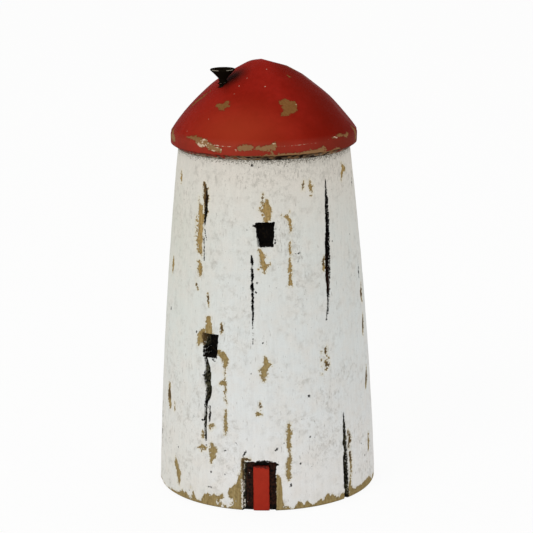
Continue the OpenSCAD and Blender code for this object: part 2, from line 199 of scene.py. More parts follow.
# White islands left in the worn foot and over the black, and paint bridges over the cuts
PAINT_LEFT = [
    [(-21.2, 2.8, 0.5), (-18.8, 2.6, 1.2), (-15.7, 3.2, 0.9)],
    [(-18.6, 6.2, 0.7), (-17.7, 3.4, 1.2), (-16.8, 1.2, 0.7)], [(-20.2, 0.9, 0.5)],
    [(-16.4, 1.2, 0.4), (-14.8, 2, 0.26)], [(-23.4, 2.4, 0.26), (-22.6, 1.4, 0.3)], [(-12.6, 3.2, 0.16)],
    [(-9.9, 11.2, 0.16), (-9.3, 8.6, 0.26), (-9.2, 1, 0.2)], [(-39.4, 3, 0.4), (-40.6, 1.4, 0.5)],
    [(-5.7, 13.3, 0), (-5.6, 12.6, 0.02)], [(-8.3, 3.6, 0.16), (-8.2, 1, 0.2)], [(-6.9, 3.1, 0.02)],
    [(-30.6, 50.9, 0.2)], [(-27, 60.9, 0.3), (-24.3, 60.6, 0.5), (-23.2, 59, 0.2)],
    [(-0.5, 91.1, 0.45), (-1, 94, 0.15)], [(-29.2, 50.4, 0.18), (-29.1, 49.7, 0.18)],
    [(-29, 48.3, 0.14), (-28.9, 47.8, 0.12)], [(-28.4, 41.9, 0.16)], [(8.9, 6.4, 0.16)], [(12.4, 1.6, 0.3)],
]

# Brown wood left bare inside the black: the upper window's sill and rubbed spots in the wide checks
WOOD_LEFT = [
    [(1.6, 91.4, 0.02), (4.6, 91.35, 0.06)], [(-36.1, 109.4, 0.1)],
    [(-35, 106.6, 0.16), (-34.6, 105.8, 0.12)], [(-6, 15.4, 0.02), (-6.3, 14.2, 0.08)], [(-6.3, 11.4, 0.06)],
    [(-6.1, 9.2, 0.08)], [(-6.2, 6.6, 0.06)], [(-6.3, 4, 0.08)], [(-30, 47.2, 0.16)], [(-29.7, 45.4, 0.1)],
    [(-29.2, 43.6, 0.18), (-30.2, 43.9, 0.12)], [(45.2, 100.2, 0.14), (45.5, 98.4, 0.12)],
    [(49.6, 24.6, 0.14)], [(49.6, 19.4, 0.16)], [(43.9, 86.4, 0.1), (43.5, 84, 0.14)],
    [(49.2, 6.4, 0.1), (49.3, 4.6, 0.14)],
]

# Where bare wood has aged brown and black stain has weathered to olive: degrees round, height, reach in mm
AGED = [
    [(-36.4, 111, 1.2), (-35.4, 106, 1.3), (-34.9, 103.6, 0.9)], [(-33.4, 60.4, 0.6), (-33.3, 56.4, 0.6)],
    [(-8.6, 17.8, 0.5), (-8.8, 1, 0.4)], [(-29.8, 50.4, 0.7), (-29.9, 44.6, 1.3), (-29.2, 38.4, 0.8)],
    [(-30.2, 35.2, 0.5), (-30.4, 26, 0.5)], [(-27.7, 34, 0.6)], [(44.6, 101, 0.5), (44.4, 97, 0.5)],
    [(49.4, 27, 0.4), (49.7, 20, 0.8), (49.3, 15, 0.9), (49.5, 9, 1), (49.8, 2, 1.1)], [(40.2, 84.4, 1.2)],
    [(53, 22, 1.4), (53.2, 14, 1.2)], [(-63, 35, 2.2)], [(0.5, 37, 0.8)], [(-30.7, 72.4, 1.2)],
    [(-21.4, 63, 1)], [(-40, 77, 1.2)], [(2.6, 107, 0.9)], [(38.6, 54, 1.4)], [(38.6, 49, 1.4)],
    [(35.4, 50, 0.9)], [(78, 70, 2.4)], [(76.6, 58.6, 2.4)], [(76.8, 39.6, 2.4)],
    [(-8.4, 18.1, 0.6), (-5.6, 18.1, 0.6)], [(29, 111, 0.8)],
]

# Where the black stain has a red-brown cast: degrees round, height, reach in mm
RUDDY = [
    [(43.4, 86, 0.9), (43, 81, 1), (42.3, 75, 0.8)], [(-36.2, 111, 0.9), (-35.2, 104, 0.9)],
    [(-28, 35.5, 0.5), (-27.8, 30, 0.6)], [(-4.6, 17.6, 1), (-4.8, 12, 1.6), (-4.8, 3, 1.6)],
    [(6.2, 17, 1.2), (6.4, 3, 1.2)], [(-30.6, 51.6, 0.7)],
]

# Height of the worn band round the foot: degrees round, height above the table
FOOT_WEAR = [
    (-90, 1.6), (-82, 0.8), (-74, 1.2), (-66, 0.5), (-60, 0.9), (-57, 1.4), (-53, 1.2), (-49.4, 1.6),
    (-47.6, 2.9), (-45, 2.6), (-43.6, 2.9), (-42, 1.5), (-40.4, 1.9), (-38.6, 4.1), (-36.8, 2.4),
    (-35.2, 1.6), (-33, 1.5), (-31.8, 3.2), (-30.2, 4.3), (-27, 4), (-24, 4.6), (-21.4, 4.4), (-20.2, 5.8),
    (-18.8, 4.4), (-17.4, 5), (-16.4, 7.2), (-14.6, 8), (-13, 9.2), (-12, 9.8), (-11.2, 12.4), (-10.2, 12.4),
    (-9.5, 14.6), (-9, 5), (8.2, 5), (8.6, 12.6), (9.6, 12), (10.6, 11.6), (11, 10), (11.2, 7.4),
    (11.4, 5.4), (11.6, 3.6), (12.6, 2.4), (14, 1.2), (15.6, 1), (17, 0.9), (18.6, 1.6), (19.8, 3),
    (21.4, 2.2), (23, 1.6), (24.6, 2.8), (26.2, 1.7), (28, 1.1), (30.6, 1.3), (32.6, 2.6), (34.4, 2.5),
    (36.2, 3.8), (38, 2.9), (39.6, 3.2), (41.6, 2.2), (44, 1.9), (46.4, 3), (48, 2.6), (52, 1.8),
    (53.6, 3.3), (55.6, 2.7), (58.4, 3.2), (62, 2.6), (66, 3), (70, 2.9), (74, 3.4), (78, 1.4), (86, 2.2),
    (97, 4.6), (104, 1.2), (113, 0.7), (122, 3.4), (131, 5.2), (138, 1.6), (150, 0.6), (161, 2.2), (168, 1),
    (180, 3.8), (188, 6.2), (196, 2), (206, 0.7), (218, 1.6), (227, 4.2), (233, 2.4), (243, 0.6), (256, 2.6),
    (263, 1), (270, 1.6),
]

# Where dirt and dry brush marks gather, and painted shade along the top under the roof: degrees round,
# height, reach in degrees, reach in mm, strength
DIRT_AND_SHADE = [
    # The patch at 25 degrees and 117 mm, along the top under the roof, is painted shade as well as dirt
    (-22, 98, 12, 10, 0.45), (-8, 113, 20, 4, 0.6), (25, 117, 36, 5, 1), (16, 96, 9, 9, 0.8),
    (24, 84, 8, 9, 0.7), (-6, 77, 8, 8, 0.35), (34, 20, 12, 7, 0.8), (37, 37, 8, 8, 0.7),
    (68, 16, 12, 12, 0.7), (-14, 18, 12, 8, 0.5), (-45, 26, 12, 10, 0.4), (-10, 60, 12, 4, 0.5),
    (-58, 44, 14, 10, 0.6), (37, 50, 5, 7, 0.5), (-34, 40, 9, 10, 0.35), (58, 113, 14, 6, 0.7),
    (-50, 100, 12, 14, 0.4), (115, 30, 20, 16, 0.6), (150, 100, 24, 12, 0.7), (190, 20, 24, 12, 0.7),
    (235, 60, 18, 20, 0.5), (200, 80, 14, 16, 0.4), (-90, 100, 16, 12, 0.4),
]


def crowded(start, end, count, spots):
    """Places from start to end that crowd round each spot (place, reach, pull): equal shares of the
    running sum of 1 + pull * exp(-(distance / reach)^2)."""
    line = np.linspace(start, end, 20 * count)
    weight = 1 + sum(pull * np.exp(-((line - place) / reach) ** 2) for place, reach, pull in spots)
    run = np.concatenate([[0], np.cumsum((weight[1:] + weight[:-1]) / 2)])
    return np.interp(np.linspace(0, run[-1], count), run, line)


def ripple(side, height, step_side, step_height, seed):
    """Smooth noise from -1 to 1 that closes round the axis: seeded values on a lattice of step_side
    degrees by step_height mm, blended between its corners by 3t^2 - 2t^3."""
    around, up = round(360 / step_side), int(160 / step_height) + 2
    table = np.random.default_rng(seed).uniform(-1, 1, (up, around))
    a, b = side % 360 / 360 * around, np.clip(height + 5, 0, 158) / step_height
    i, j = np.floor(a).astype(int), np.floor(b).astype(int)
    s, t = a - i, b - j
    s, t = s * s * (3 - 2 * s), t * t * (3 - 2 * t)
    under = table[j, i % around] * (1 - s) + table[j, (i + 1) % around] * s
    over = table[j + 1, i % around] * (1 - s) + table[j + 1, (i + 1) % around] * s
    return under * (1 - t) + over * t


def ramp(value, start, end):
    """0 at start, 1 at end, and 3t^2 - 2t^3 between them."""
    t = np.clip((value - start) / (end - start), 0, 1)
    return t * t * (3 - 2 * t)


def apart(side, place):
    """Degrees round from place to side, between -180 and 180."""
    return (side - place + 180) % 360 - 180


def brushed(side, height, radius, chains):
    """How far inside the nearest of many strokes each point lies, in mm, and below 0 outside them. Each
    chain is a list of (degrees, height, half width). Between two of its places the half width changes
    evenly, and the depth inside is that half width less the distance to the line."""
    inside = np.full(side.shape, -9.0)
    for chain in chains:
        for (side0, h0, w0), (side1, h1, w1) in zip(chain, chain[1:] or chain):
            x = np.radians(apart(side, side0)) * radius
            y = height - h0
            run, rise = np.radians(side1 - side0) * radius, h1 - h0
            share = np.clip((x * run + y * rise) / (run**2 + rise**2 + 1e-9), 0, 1)
            depth = w0 + (w1 - w0) * share - np.hypot(x - share * run, y - share * rise)
            inside = np.maximum(inside, depth)
    return inside


def tower_r(z):
    """Radius of the turned side at height z: a straight taper plus a parabola that bows it out."""
    t = z / TOWER_H
    return BASE_R + (NECK_R - BASE_R) * t + 4 * SIDE_BOW * t * (1 - t)


def around(a, r, z):
    """Points that are a degrees round from the door towards +X, r mm out and z mm up."""
    return np.stack([r * np.sin(np.radians(a)), -r * np.cos(np.radians(a)), z], -1)


def placed(name, data):
    """A new object made of the data, added to the scene."""
    made = bpy.data.objects.new(name, data)
    bpy.context.scene.collection.objects.link(made)
    return made


def closed_shell(name, rings, first, last, **fields):
    """A closed piece from rings of points in mm, rows by columns by 3. Each ring closes on itself, and
    fans close the end rings to the points first and last. Fields become vertex attributes."""
    rows, columns = rings.shape[:2]
    points = np.concatenate([[first], rings.reshape(-1, 3), [last]]) * MM
    here = np.arange(rows * columns).reshape(rows, columns) + 1
    beside = np.roll(here, -1, axis=1)
    quads = np.stack([here[:-1], beside[:-1], beside[1:], here[1:]], -1).reshape(-1, 4)
    start = np.stack([beside[0], here[0], np.zeros(columns, int)], -1)
    end = np.stack([here[-1], beside[-1], np.full(columns, rows * columns + 1)], -1)
    mesh = bpy.data.meshes.new(name)
    mesh.from_pydata(points.tolist(), [], quads.tolist() + start.tolist() + end.tolist())
    mesh.shade_smooth()
    mesh.set_sharp_from_angle(angle=math.radians(SHARP_EDGE))
    for field, values in fields.items():
        values = np.concatenate([[values[0].mean()], values.ravel(), [values[-1].mean()]])
        mesh.attributes.new(field, "FLOAT", "POINT").data.foreach_set("value", values.astype(np.float32))
    return placed(name, mesh)


def wandering_chips(dice, count, sides, heights):
    """Chips that follow the grain: each is a run of places about 1.2 mm apart that stray a little to
    either side, with half widths that come and go."""
    chips = []
    for _ in range(count):
        side, height = dice.uniform(*sides), dice.uniform(*heights)
        chip, size = [], dice.uniform(0.25, 0.8)
        for _ in range(dice.integers(2, 9)):
            chip.append((side + dice.normal(0, 0.5), height, size * dice.uniform(0.25, 1.5)))
            height -= dice.uniform(0.7, 1.7)
        chips.append(chip)
    return chips


def tower_shell():
    """The tower as rings from the middle of its foot, over the worn edge, up the side and into the
    dowel's socket. A point is a degrees round, z mm up and r mm out, where r is the turned outline less
    the depth of whatever is cut there. A mask is mm inside its edge, and below 0 outside."""
    # Columns crowd at the cuts' edges and at the checks, rows at the ends of the windows and the door
    spots = [-9.1, -3.6, 4.8, 8.2, -1.6, 9.6, -33.6, -23.4, -38.8, -34.8, -3.6, 45.2, 43, -29.6, 49.4, 76,
             108, 131, 153, -179, -153, -128, -106]
    side = crowded(-180, 180, TOWER_COLUMNS + 1, [(s, 0.9, 2.2) for s in spots] + [(2, 70, 0.9)])[:-1]
    levels = [(0, 1.2, 2.5), (17.4, 1.2, 2), (52.5, 1, 2), (60.5, 1, 2), (91.2, 1, 2), (99.2, 1, 2)]
    level = crowded(FOOT_ROUND, TOWER_H, TOWER_ROWS, levels)
    turn = np.radians(np.arange(0, 90, 15))
    foot_r = tower_r(FOOT_ROUND) - FOOT_ROUND * (1 - np.sin(turn))
    a, z = np.meshgrid(side, np.concatenate([FOOT_ROUND * (1 - np.cos(turn)), level]))
    r = np.meshgrid(side, np.concatenate([foot_r, tower_r(level)]))[1]

    # Bare wood: the chips in front, invented ones behind, and the worn band round the foot
    coarse = ripple(a, z, 2.4, 1.4, 1)
    fine = ripple(a, z, 1.0, 0.75, 2)
    dice = np.random.default_rng(11)
    back = wandering_chips(dice, 52, (88, 278), (9, 117))
    specks = [[(s, h, w)] for s, h, w in zip(dice.uniform(-180, 180, 150), dice.uniform(3, 118, 150),
                                             dice.uniform(0.05, 0.24, 150))]
    bare = brushed(a, z, r, FRONT_CHIPS + back)
    sides, heights = np.array(FOOT_WEAR).T
    wear = np.interp((a + 90) % 360 - 90, sides, heights) - z + 0.5 * ripple(a, 0 * z, 1.2, 5, 41)
    bare = np.maximum(bare, np.minimum(wear, 2.5))
    bare = bare + 0.3 * coarse + 0.2 * fine

    # Black: the checks, which are also slots cut in the wood, and the specks, which are only colour
    black = brushed(a, z, r, FRONT_CHECKS)
    for place, middle, length, half_w, lean in BACK_CHECKS:
        up = (z - middle * TOWER_H) / (length * TOWER_H / 2)
        drift = math.tan(math.radians(lean)) * (z - middle * TOWER_H)
        x = np.radians(apart(a, place)) * r - drift
        broken = 0.35 * ripple(a * 0 + place, z, 9, 3.1, int(place)) - 0.1
        black = np.maximum(black, np.where(abs(up) < 1, half_w * (1 - up**2) + broken, -0.4) - abs(x))
    slot = black + 0.1 * coarse + 0.06 * fine
    black = np.maximum(black + 0.1 * coarse + 0.12 * fine, brushed(a, z, r, SPECKS) + 0.12 + 0.1 * fine)
    black = np.maximum(black, brushed(a, z, r, specks) + 0.1 * fine)
    cut = CHECK_CUT * ramp(slot, 0, 0.55)

    # Windows: pockets with a flat floor. The lower one keeps bare wood and flaked black on its left
    reveal = np.full_like(z, -3.0)
    for place, sill in WINDOWS:
        up = (z - sill) / WINDOW_H
        half = (WINDOW_FOOT + (WINDOW_TOP - WINDOW_FOOT) * np.clip(up, 0, 1)) / 2
        turn_by = np.radians(apart(a, place))
        x = np.sin(turn_by) * r
        facing = np.cos(turn_by) > 0
        inside = np.minimum(half - abs(x), np.minimum(z - sill, sill + WINDOW_H - z))
        inside = np.where(facing, inside, -9)
        floor = (tower_r(sill + WINDOW_H / 2) - WINDOW_CUT) / np.maximum(np.cos(turn_by), 0.5)
        share = ramp(inside + 0.1 * coarse, -0.05, 0.4)
        cut = np.maximum(cut, (r - floor) * share)
        black = np.maximum(black, 2 * inside + 0.3 + 0.25 * coarse + 0.15 * fine)
        if place < 0:
            wall = np.minimum(np.minimum(inside + 0.4, 0.34 - inside), np.minimum(-x - 2.2, z - sill - 3.7))
            reveal = np.maximum(reveal, np.where(facing, wall, -3) + 0.15 * fine)
            flaked = facing & (x < -1.9) & (z < sill + 3.6) & (inside > -0.4)
            black = np.where(flaked, np.minimum(black, 0.16 + 0.3 * fine), black)
    reveal = np.maximum(reveal, brushed(a, z, r, WOOD_LEFT) + 0.06 * fine)

    # Door: the sunk black border, the mortise behind the slip, and two spurs of black over the border
    x = np.sin(np.radians(a)) * r
    facing = np.cos(np.radians(a)) > 0
    left, right = DOOR_X - DOOR_W / 2, DOOR_X + DOOR_W / 2
    sunk = np.minimum(np.minimum(x - left + BORDER_LEFT, right + BORDER_RIGHT - x), DOOR_H + BORDER_TOP - z)
    sunk = np.where(facing, sunk, -9) + 0.12 * coarse + 0.1 * fine
    mortise = np.minimum(np.minimum(x - left, right - x), DOOR_H - z) + DOOR_ROOM
    mortise = np.where(facing, mortise, -9)
    behind = (BASE_R - DOOR_BACK - DOOR_T - DOOR_ROOM) / np.maximum(np.cos(np.radians(a)), 0.5)
    cut = np.maximum(cut, BORDER_CUT * ramp(sunk, -0.05, 0.3))
    cut = np.where(mortise > 0, r - behind, cut)
    spur = brushed(a, z, r, [[(7.8, 16.8, 0.5), (9.3, 16.5, 0.36)],
                             [(-1.5, 17.6, 0.3), (2, 17.8, 0.35), (6, 17.5, 0.3)]])
    black = np.maximum(black, np.maximum(2 * sunk + 0.2 + 0.2 * coarse, spur + 0.1 * fine))

    # The border's outer left strip is rubbed back to grey-brown wood
    rubbed = np.minimum(0.5 + 0.15 * coarse + 0.2 * fine - (x - left + BORDER_LEFT), (z - 8) * 0.2 + 0.3)
    rubbed = np.where(facing & (sunk > -0.3), np.minimum(rubbed, 1), -9)
    reveal = np.maximum(reveal, rubbed)
    black = np.where(reveal > 0, np.minimum(black, -reveal), black)
    bare = np.maximum(bare, np.where(reveal > 0, reveal, -9))
    kept = brushed(a, z, r, PAINT_LEFT) + 0.06 * fine
    bare, black = np.minimum(bare, -kept), np.minimum(black, -kept)

    # Turning and brushing leave the side a little uneven, and the paint stands out round the chips
    turned = 0.05 + 0.035 * ripple(a, z, 30, 3, 5) + 0.02 * ripple(a, z, 2, 14, 6)
    skin = PAINT_T * ramp(bare, -0.1, 0.15) + turned * ramp(z, 0, 3)
    r = r - np.maximum(cut, skin)
    # Dirt, and along the top under the roof painted shade, in one field
    dirt_and_shade = sum(strength * np.exp(-(apart(a, place) / wide) ** 2 - ((z - h) / tall) ** 2)
               for place, h, wide, tall, strength in DIRT_AND_SHADE)
    aged = ramp(brushed(a, z, r, AGED) + 0.3 * coarse, -0.25, 0.35)
    ruddy = ramp(brushed(a, z, r, RUDDY) + 0.3 * coarse, -0.25, 0.35)
    fields = {"bare": bare, "black": black, "aged": aged, "dirt_and_shade": np.clip(dirt_and_shade, 0, 1), "ruddy": ruddy}

    # Two rings under the foot and four over the top and down the socket, all of bare wood
    under = np.array([0.4, 0.85])[:, None] * r[:1]
    top_r = np.array([NECK_R * 0.6, SOCKET_R, SOCKET_R, SOCKET_R * 0.5])
    top_z = np.array([TOWER_H, TOWER_H, TOWER_H - SOCKET_CUT, TOWER_H - SOCKET_CUT])
    r = np.concatenate([under, r, top_r[:, None] * np.ones_like(side)])
    z = np.concatenate([np.zeros_like(under), z, top_z[:, None] * np.ones_like(side)])
    rings = around(side * np.ones_like(z), r, z)
    fields = {name: np.pad(field, ((2, 4), (0, 0)), "edge") for name, field in fields.items()}
    for row in (0, 1, -1, -2, -3, -4):
        fields["bare"][row], fields["black"][row] = 3, -3
    return closed_shell("tower_painted", rings, (0, 0, 0), (0, 0, TOWER_H - SOCKET_CUT), **fields)


def linear(colour):
    """A six-digit sRGB hex colour as linear RGBA: ((c + 0.055) / 1.055) to the power 2.4, or c / 12.92
    when dark."""
    parts = [int(colour[i:i + 2], 16) / 255 for i in (0, 2, 4)]
    return (*[c / 12.92 if c <= 0.04045 else ((c + 0.055) / 1.055) ** 2.4 for c in parts], 1.0)


def new_material(name):
    """An empty material and its node tree."""
    made = bpy.data.materials.new(name)
    made.use_nodes = True
    made.node_tree.nodes.clear()
    return made, made.node_tree


def put(tree, kind, inputs=(), **settings):
    """Adds a node. Settings are its properties. Inputs are values in the order of its sockets, or a dict
    of socket names and values. A value may be a socket or a node, which stands for its first output. A
    MapRange takes a value, the two ends it comes between and the two it goes to, 0 and 1 if left out."""
    made = tree.nodes.new("ShaderNode" + kind)
    for name, value in settings.items():
        setattr(made, name, value)
    for name, value in inputs.items() if isinstance(inputs, dict) else enumerate(inputs):
        value = value.outputs[0] if isinstance(value, bpy.types.Node) else value
        if isinstance(value, bpy.types.NodeSocket):
            tree.links.new(value, made.inputs[name])
        else:
            made.inputs[name].default_value = value
    return made


def per(size_mm):
    """Texture scale at which one feature is size_mm across on Object coordinates in metres."""
    return 1 / (size_mm * MM)


def surfaced(made, relief, strength, depth, skin):
    """Ends a material with its skin, a dict of the surface's values, over relief that is depth deep."""
    bump = put(made.node_tree, "Bump", {"Strength": strength, "Distance": depth, "Height": relief})
    shader = put(made.node_tree, "BsdfPrincipled", {**skin, "Normal": bump})
    put(made.node_tree, "OutputMaterial", (shader,))
    return made


def chalk_paint_on_softwood():
    """Milk-paint white over bare softwood, with black-stained cuts. Chalk paint is dead matt and takes up
    brush marks, soiling and the wood's grain. The old wood under it is dull tan with a fine upright grain.
    Painted shade darkens the paint along its left edge and along its top under the roof."""
    made, tree = new_material("chalk_paint_on_softwood")
    place = put(tree, "TexCoord").outputs["Object"]
    bare, black, dirt_and_shade, aged, ruddy = [put(tree, "Attribute", attribute_name=n).outputs["Fac"]
                                      for n in ("bare", "black", "dirt_and_shade", "aged", "ruddy")]

    # Noises, as mm across and up of one feature, detail and roughness: ragged edges, drifts of warmth,
    # patches of smudges, smudges, flecks, patina, brush combing, skipped dashes, and the wood's grain
    noises = []
    for across, up, detail, rough in (
            (0.6, 0.6, 4, 0.65), (5, 5, 4, 0.6), (8, 8, 2, 0.5), (2, 2, 4, 0.7), (0.45, 0.45, 2, 0.7),
            (0.8, 0.8, 2, 0.5), (0.9, 12, 2, 0.5), (0.5, 2.4, 2, 0.5), (0.45, 9, 4, 0.6)):
        spread = put(tree, "Mapping", {"Vector": place, "Scale": (per(across), per(across), per(up))})
        noises.append(put(tree, "TexNoise", {"Vector": spread, "Scale": 1, "Detail": detail,
                                             "Roughness": rough}))
    rag, drift, patch, blotch, fleck, patina, comb, dash, grain = noises

    # Ragged edges: the noise is worth up to about 0.5 mm of the masks' width
    rag = put(tree, "Math", (rag, 0.5), operation="SUBTRACT")
    bare_in = put(tree, "Math", (rag, 2.6, bare), operation="MULTIPLY_ADD")
    bare = put(tree, "MapRange", (bare_in, -0.03, 0.06))
    deeper = put(tree, "Math", (black, 1.2), operation="MULTIPLY")
    black_in = put(tree, "Math", (rag, 1.7, deeper), operation="MULTIPLY_ADD")
    black = put(tree, "MapRange", (black_in, -0.05, 0.09))

    # Tones from the foot up: the paint, darker and warmer towards the top, partly as painted shade under
    # the roof; the paint on the left, darker still as painted shade; and the wood's early and late growth
    where = put(tree, "SeparateXYZ", (place,)).outputs
    height = put(tree, "Math", (where["Z"], TOWER_H * MM), operation="DIVIDE")
    tones = []
    for stops in (((0.1, "E9E8E6"), (0.28, "E2E4E3"), (0.5, "DEE1DF"), (0.8, "DADBD5"), (0.95, "DBD6CC")),
                  ((0.1, "E0DFD9"), (0.28, "DEDED9"), (0.5, "D9DCD6"), (0.8, "D2D2C7"), (0.95, "D5D2C8")),
                  ((0.4, "8A7449"), (0.8, "977B48")), ((0.4, "A89568"), (0.8, "B89C68"))):
        tones.append(put(tree, "ValToRGB", (height,)))
        points = tones[-1].color_ramp.elements
        while len(points) < len(stops):
            points.new(1.0)
        for point, (share, tint) in zip(points, stops):
            point.position = share
            point.color = linear(tint)
    plain, dull, early, late = tones

    # Paint: creamier and darker towards the left edge, which is painted shade, with warm drifts 5 mm across,
    # and with soft grey smudges 2 mm across that gather in patches 8 mm across, more where it is dirty and
    # under the roof
    left = put(tree, "MapRange", (where["X"], -0.010, -0.028))
    paint = put(tree, "MixRGB", (left, plain, dull))
    drift = put(tree, "MapRange", (drift, 0.4, 0.66, 0, 0.35))
    patch = put(tree, "Math", (dirt_and_shade, 0.22, patch), operation="MULTIPLY_ADD")
    patch = put(tree, "MapRange", (patch, 0.44, 0.68))
    blotch = put(tree, "MapRange", (blotch, 0.48, 0.7, 0, 0.6))
    mottle = put(tree, "Math", (patch, blotch), operation="MULTIPLY")
    for share, tint in ((drift, "E0D8CE"), (mottle, "ABA79E")):
        paint = put(tree, "MixRGB", (share, paint, linear(tint)))

    # Brush marks: a faint combing along the grain, and dashes 0.5 mm wide where the bristles skipped
    comb = put(tree, "MapRange", (comb, 0.3, 0.7, 0.965, 1.02))
    coat = put(tree, "Math", (dirt_and_shade, 0.3, 0.16), operation="MULTIPLY_ADD")
    uneven = put(tree, "Math", (fleck, 0.5), operation="SUBTRACT")
    comb = put(tree, "Math", (uneven, coat, comb), operation="MULTIPLY_ADD")
    paint = put(tree, "MixRGB", (1, paint, comb), blend_type="MULTIPLY")
    dash = put(tree, "Math", (dirt_and_shade, 0.09, dash), operation="MULTIPLY_ADD")
    dash = put(tree, "MapRange", (dash, 0.66, 0.76, 0, 0.5))

    # Flecks of dirt 0.45 mm across, most under the roof, where the extra ones are painted shade, and the
    # cream film along the chips' edges
    seat = put(tree, "MapRange", (height, 0.978, 1, 0, 0.24))
    speck = put(tree, "Math", (dirt_and_shade, 0.05, seat), operation="MULTIPLY_ADD")
    speck = put(tree, "Math", (speck, fleck), operation="ADD")
    speck = put(tree, "MapRange", (speck, 0.68, 0.77, 0, 0.8))
    lip = put(tree, "MapRange", (bare_in, -0.7, 0, 0, 0.5))
    for share, tint in ((dash, "97928A"), (speck, "625C4E"), (lip, "DBD2B6")):
        paint = put(tree, "MixRGB", (share, paint, linear(tint)))

    # Wood: grain lines 0.45 mm apart and 9 mm long, spotted, darker where the chip's edge holds dirt
    grain = put(tree, "MapRange", (grain, 0.3, 0.7))
    wood = put(tree, "MixRGB", (grain, early, late))
    spots = put(tree, "MapRange", (patina, 0.48, 0.68, 0, 0.6))
    edge = put(tree, "MapRange", (bare_in, 0, 0.4, 0.6, 0))
    browned = put(tree, "MapRange", (aged, 0, 1, 0, 0.8))
    for share, tint in ((spots, "75643F"), (edge, "68573A"), (browned, "4A3620")):
        wood = put(tree, "MixRGB", (share, wood, linear(tint)))
    colour = put(tree, "MixRGB", (bare, paint, wood))

    # Black stain: brown in spots, olive where it has weathered, and red-brown in places
    stain = put(tree, "MapRange", (patina, 0.52, 0.72))
    stain = put(tree, "MixRGB", (stain, linear("0A0807"), linear("251C11")))
    for start, end, field, tint in ((0.38, 0.58, aged, "625E49"), (0.35, 0.6, ruddy, "331C13")):
        share = put(tree, "MapRange", (patina, start, end))
        share = put(tree, "Math", (share, field), operation="MULTIPLY")
        stain = put(tree, "MixRGB", (share, stain, linear(tint)))
    colour = put(tree, "MixRGB", (black, colour, stain))

    # Relief in mm: the broken edge of the paint, its blotches and flecks
    relief = put(tree, "Math", (bare, -0.1), operation="MULTIPLY")
    for bumps in (blotch, fleck):
        relief = put(tree, "Math", (bumps, 0.05, relief), operation="MULTIPLY_ADD")
    return surfaced(made, relief, 0.5, MM, {"Base Color": colour, "Roughness": 0.85, "IOR": 1.45,
                                            "Specular IOR Level": 0.1})


tower = tower_shell()
tower.data.materials.append(chalk_paint_on_softwood())
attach(tower, "root")
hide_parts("tower")


# Door: a thin slip of wood, glued into a shallow mortise at the tower's foot. Its face follows the
# tower's curve just under the surface. It is painted the roof's red, and its edges are worn.
DOOR_EDGE = 0.35
DOOR_SETBACK = 0.02
DOOR_COLUMNS = 160


def door_slip():
    """The slip as rings up its height. A ring is a rectangle with rounded corners, spread evenly along
    its outline. Across, it has the slip's width; in depth, it runs from the flat back to the curved face,
    which is eased in at the foot by the same quarter circle as the tower's."""
    half, depth, edge = DOOR_W / 2, DOOR_T, DOOR_EDGE
    turn = np.radians(np.linspace(0, 90, 7))
    quarters = [(half - edge, edge, -90), (half - edge, depth - edge, 0), (edge - half, depth - edge, 90),
                (edge - half, edge, 180)]
    x = np.concatenate([cx + edge * np.cos(turn + math.radians(q)) for cx, _, q in quarters])
    y = np.concatenate([cy + edge * np.sin(turn + math.radians(q)) for _, cy, q in quarters])
    x, y = np.append(x, x[0]), np.append(y, y[0])
    along = np.concatenate([[0], np.cumsum(np.hypot(np.diff(x), np.diff(y)))])
    even = np.linspace(0, along[-1], DOOR_COLUMNS + 1)[:-1]
    x, y = np.interp(even, along, x), np.interp(even, along, y) / depth
    level = np.concatenate([np.linspace(0, FOOT_ROUND, 7)[:-1], np.linspace(FOOT_ROUND, DOOR_H - edge, 70),
                            DOOR_H - edge + edge * np.sin(np.radians(np.linspace(12, 90, 7)))])
    lift = np.clip((level - DOOR_H + edge) / edge, 0, 1)
    inset = edge * (1 - np.sqrt(1 - lift**2))
    worn = 0.1 * np.maximum(0, ripple(level * 8, level, 6, 1.4, 21))
    x = x * (1 - ((inset + worn) / half)[:, None])
    z = level[:, None] * np.ones_like(x)
    across = DOOR_X + x
    back = BASE_R - DOOR_BACK - DOOR_T
    eased = FOOT_ROUND * (1 - np.sqrt(1 - np.clip(1 - z / FOOT_ROUND, 0, 1) ** 2))
    face = np.sqrt((tower_r(np.maximum(z, FOOT_ROUND)) - eased - DOOR_BACK - DOOR_SETBACK) ** 2
                   - across**2)
    y = -(back + inset[:, None] / 2 + (face - back - inset[:, None]) * (1 - y))
    rings = np.stack([across, y, z], -1)
    corner = ramp(abs(x) / half, 0.86, 1) * ramp(-y - back, DOOR_T * 0.6, DOOR_T)
    # Rim: wear on the slip's corners, and along its top a band of painted shadow from the border's lip
    rim = np.maximum(0.85 * corner, ramp(z + 0.35 * x / half, DOOR_H - 1.7, DOOR_H - 0.2))
    middle = (DOOR_X, -(back + DOOR_T / 2))
    return closed_shell("door_slip", rings, (*middle, 0), (*middle, DOOR_H), rim=rim)


def red_paint_on_wood(name, light, deep):
    """Satin red paint on wood: a thin even film that dulls in patches. Light and deep are the paint's two
    tones. Gives the material, its tree, the paint's colour, a ragged noise and a mottle."""
    made, tree = new_material(name)
    place = put(tree, "TexCoord").outputs["Object"]
    tone, mottle, rag = [put(tree, "TexNoise", {"Vector": place, "Scale": per(size), "Detail": detail,
                                                "Roughness": rough})
                         for size, detail, rough in ((9, 4, 0.6), (1.6, 4, 0.7), (0.7, 3, 0.65))]
    tone = put(tree, "MapRange", (tone, 0.35, 0.65))
    paint = put(tree, "MixRGB", (tone, linear(light), linear(deep)))
    shade = put(tree, "MapRange", (mottle, 0.3, 0.7, 0.9, 1.08))
    paint = put(tree, "MixRGB", (1, paint, shade), blend_type="MULTIPLY")
    rag = put(tree, "Math", (rag, 0.5), operation="SUBTRACT")
    return made, tree, paint, rag, mottle


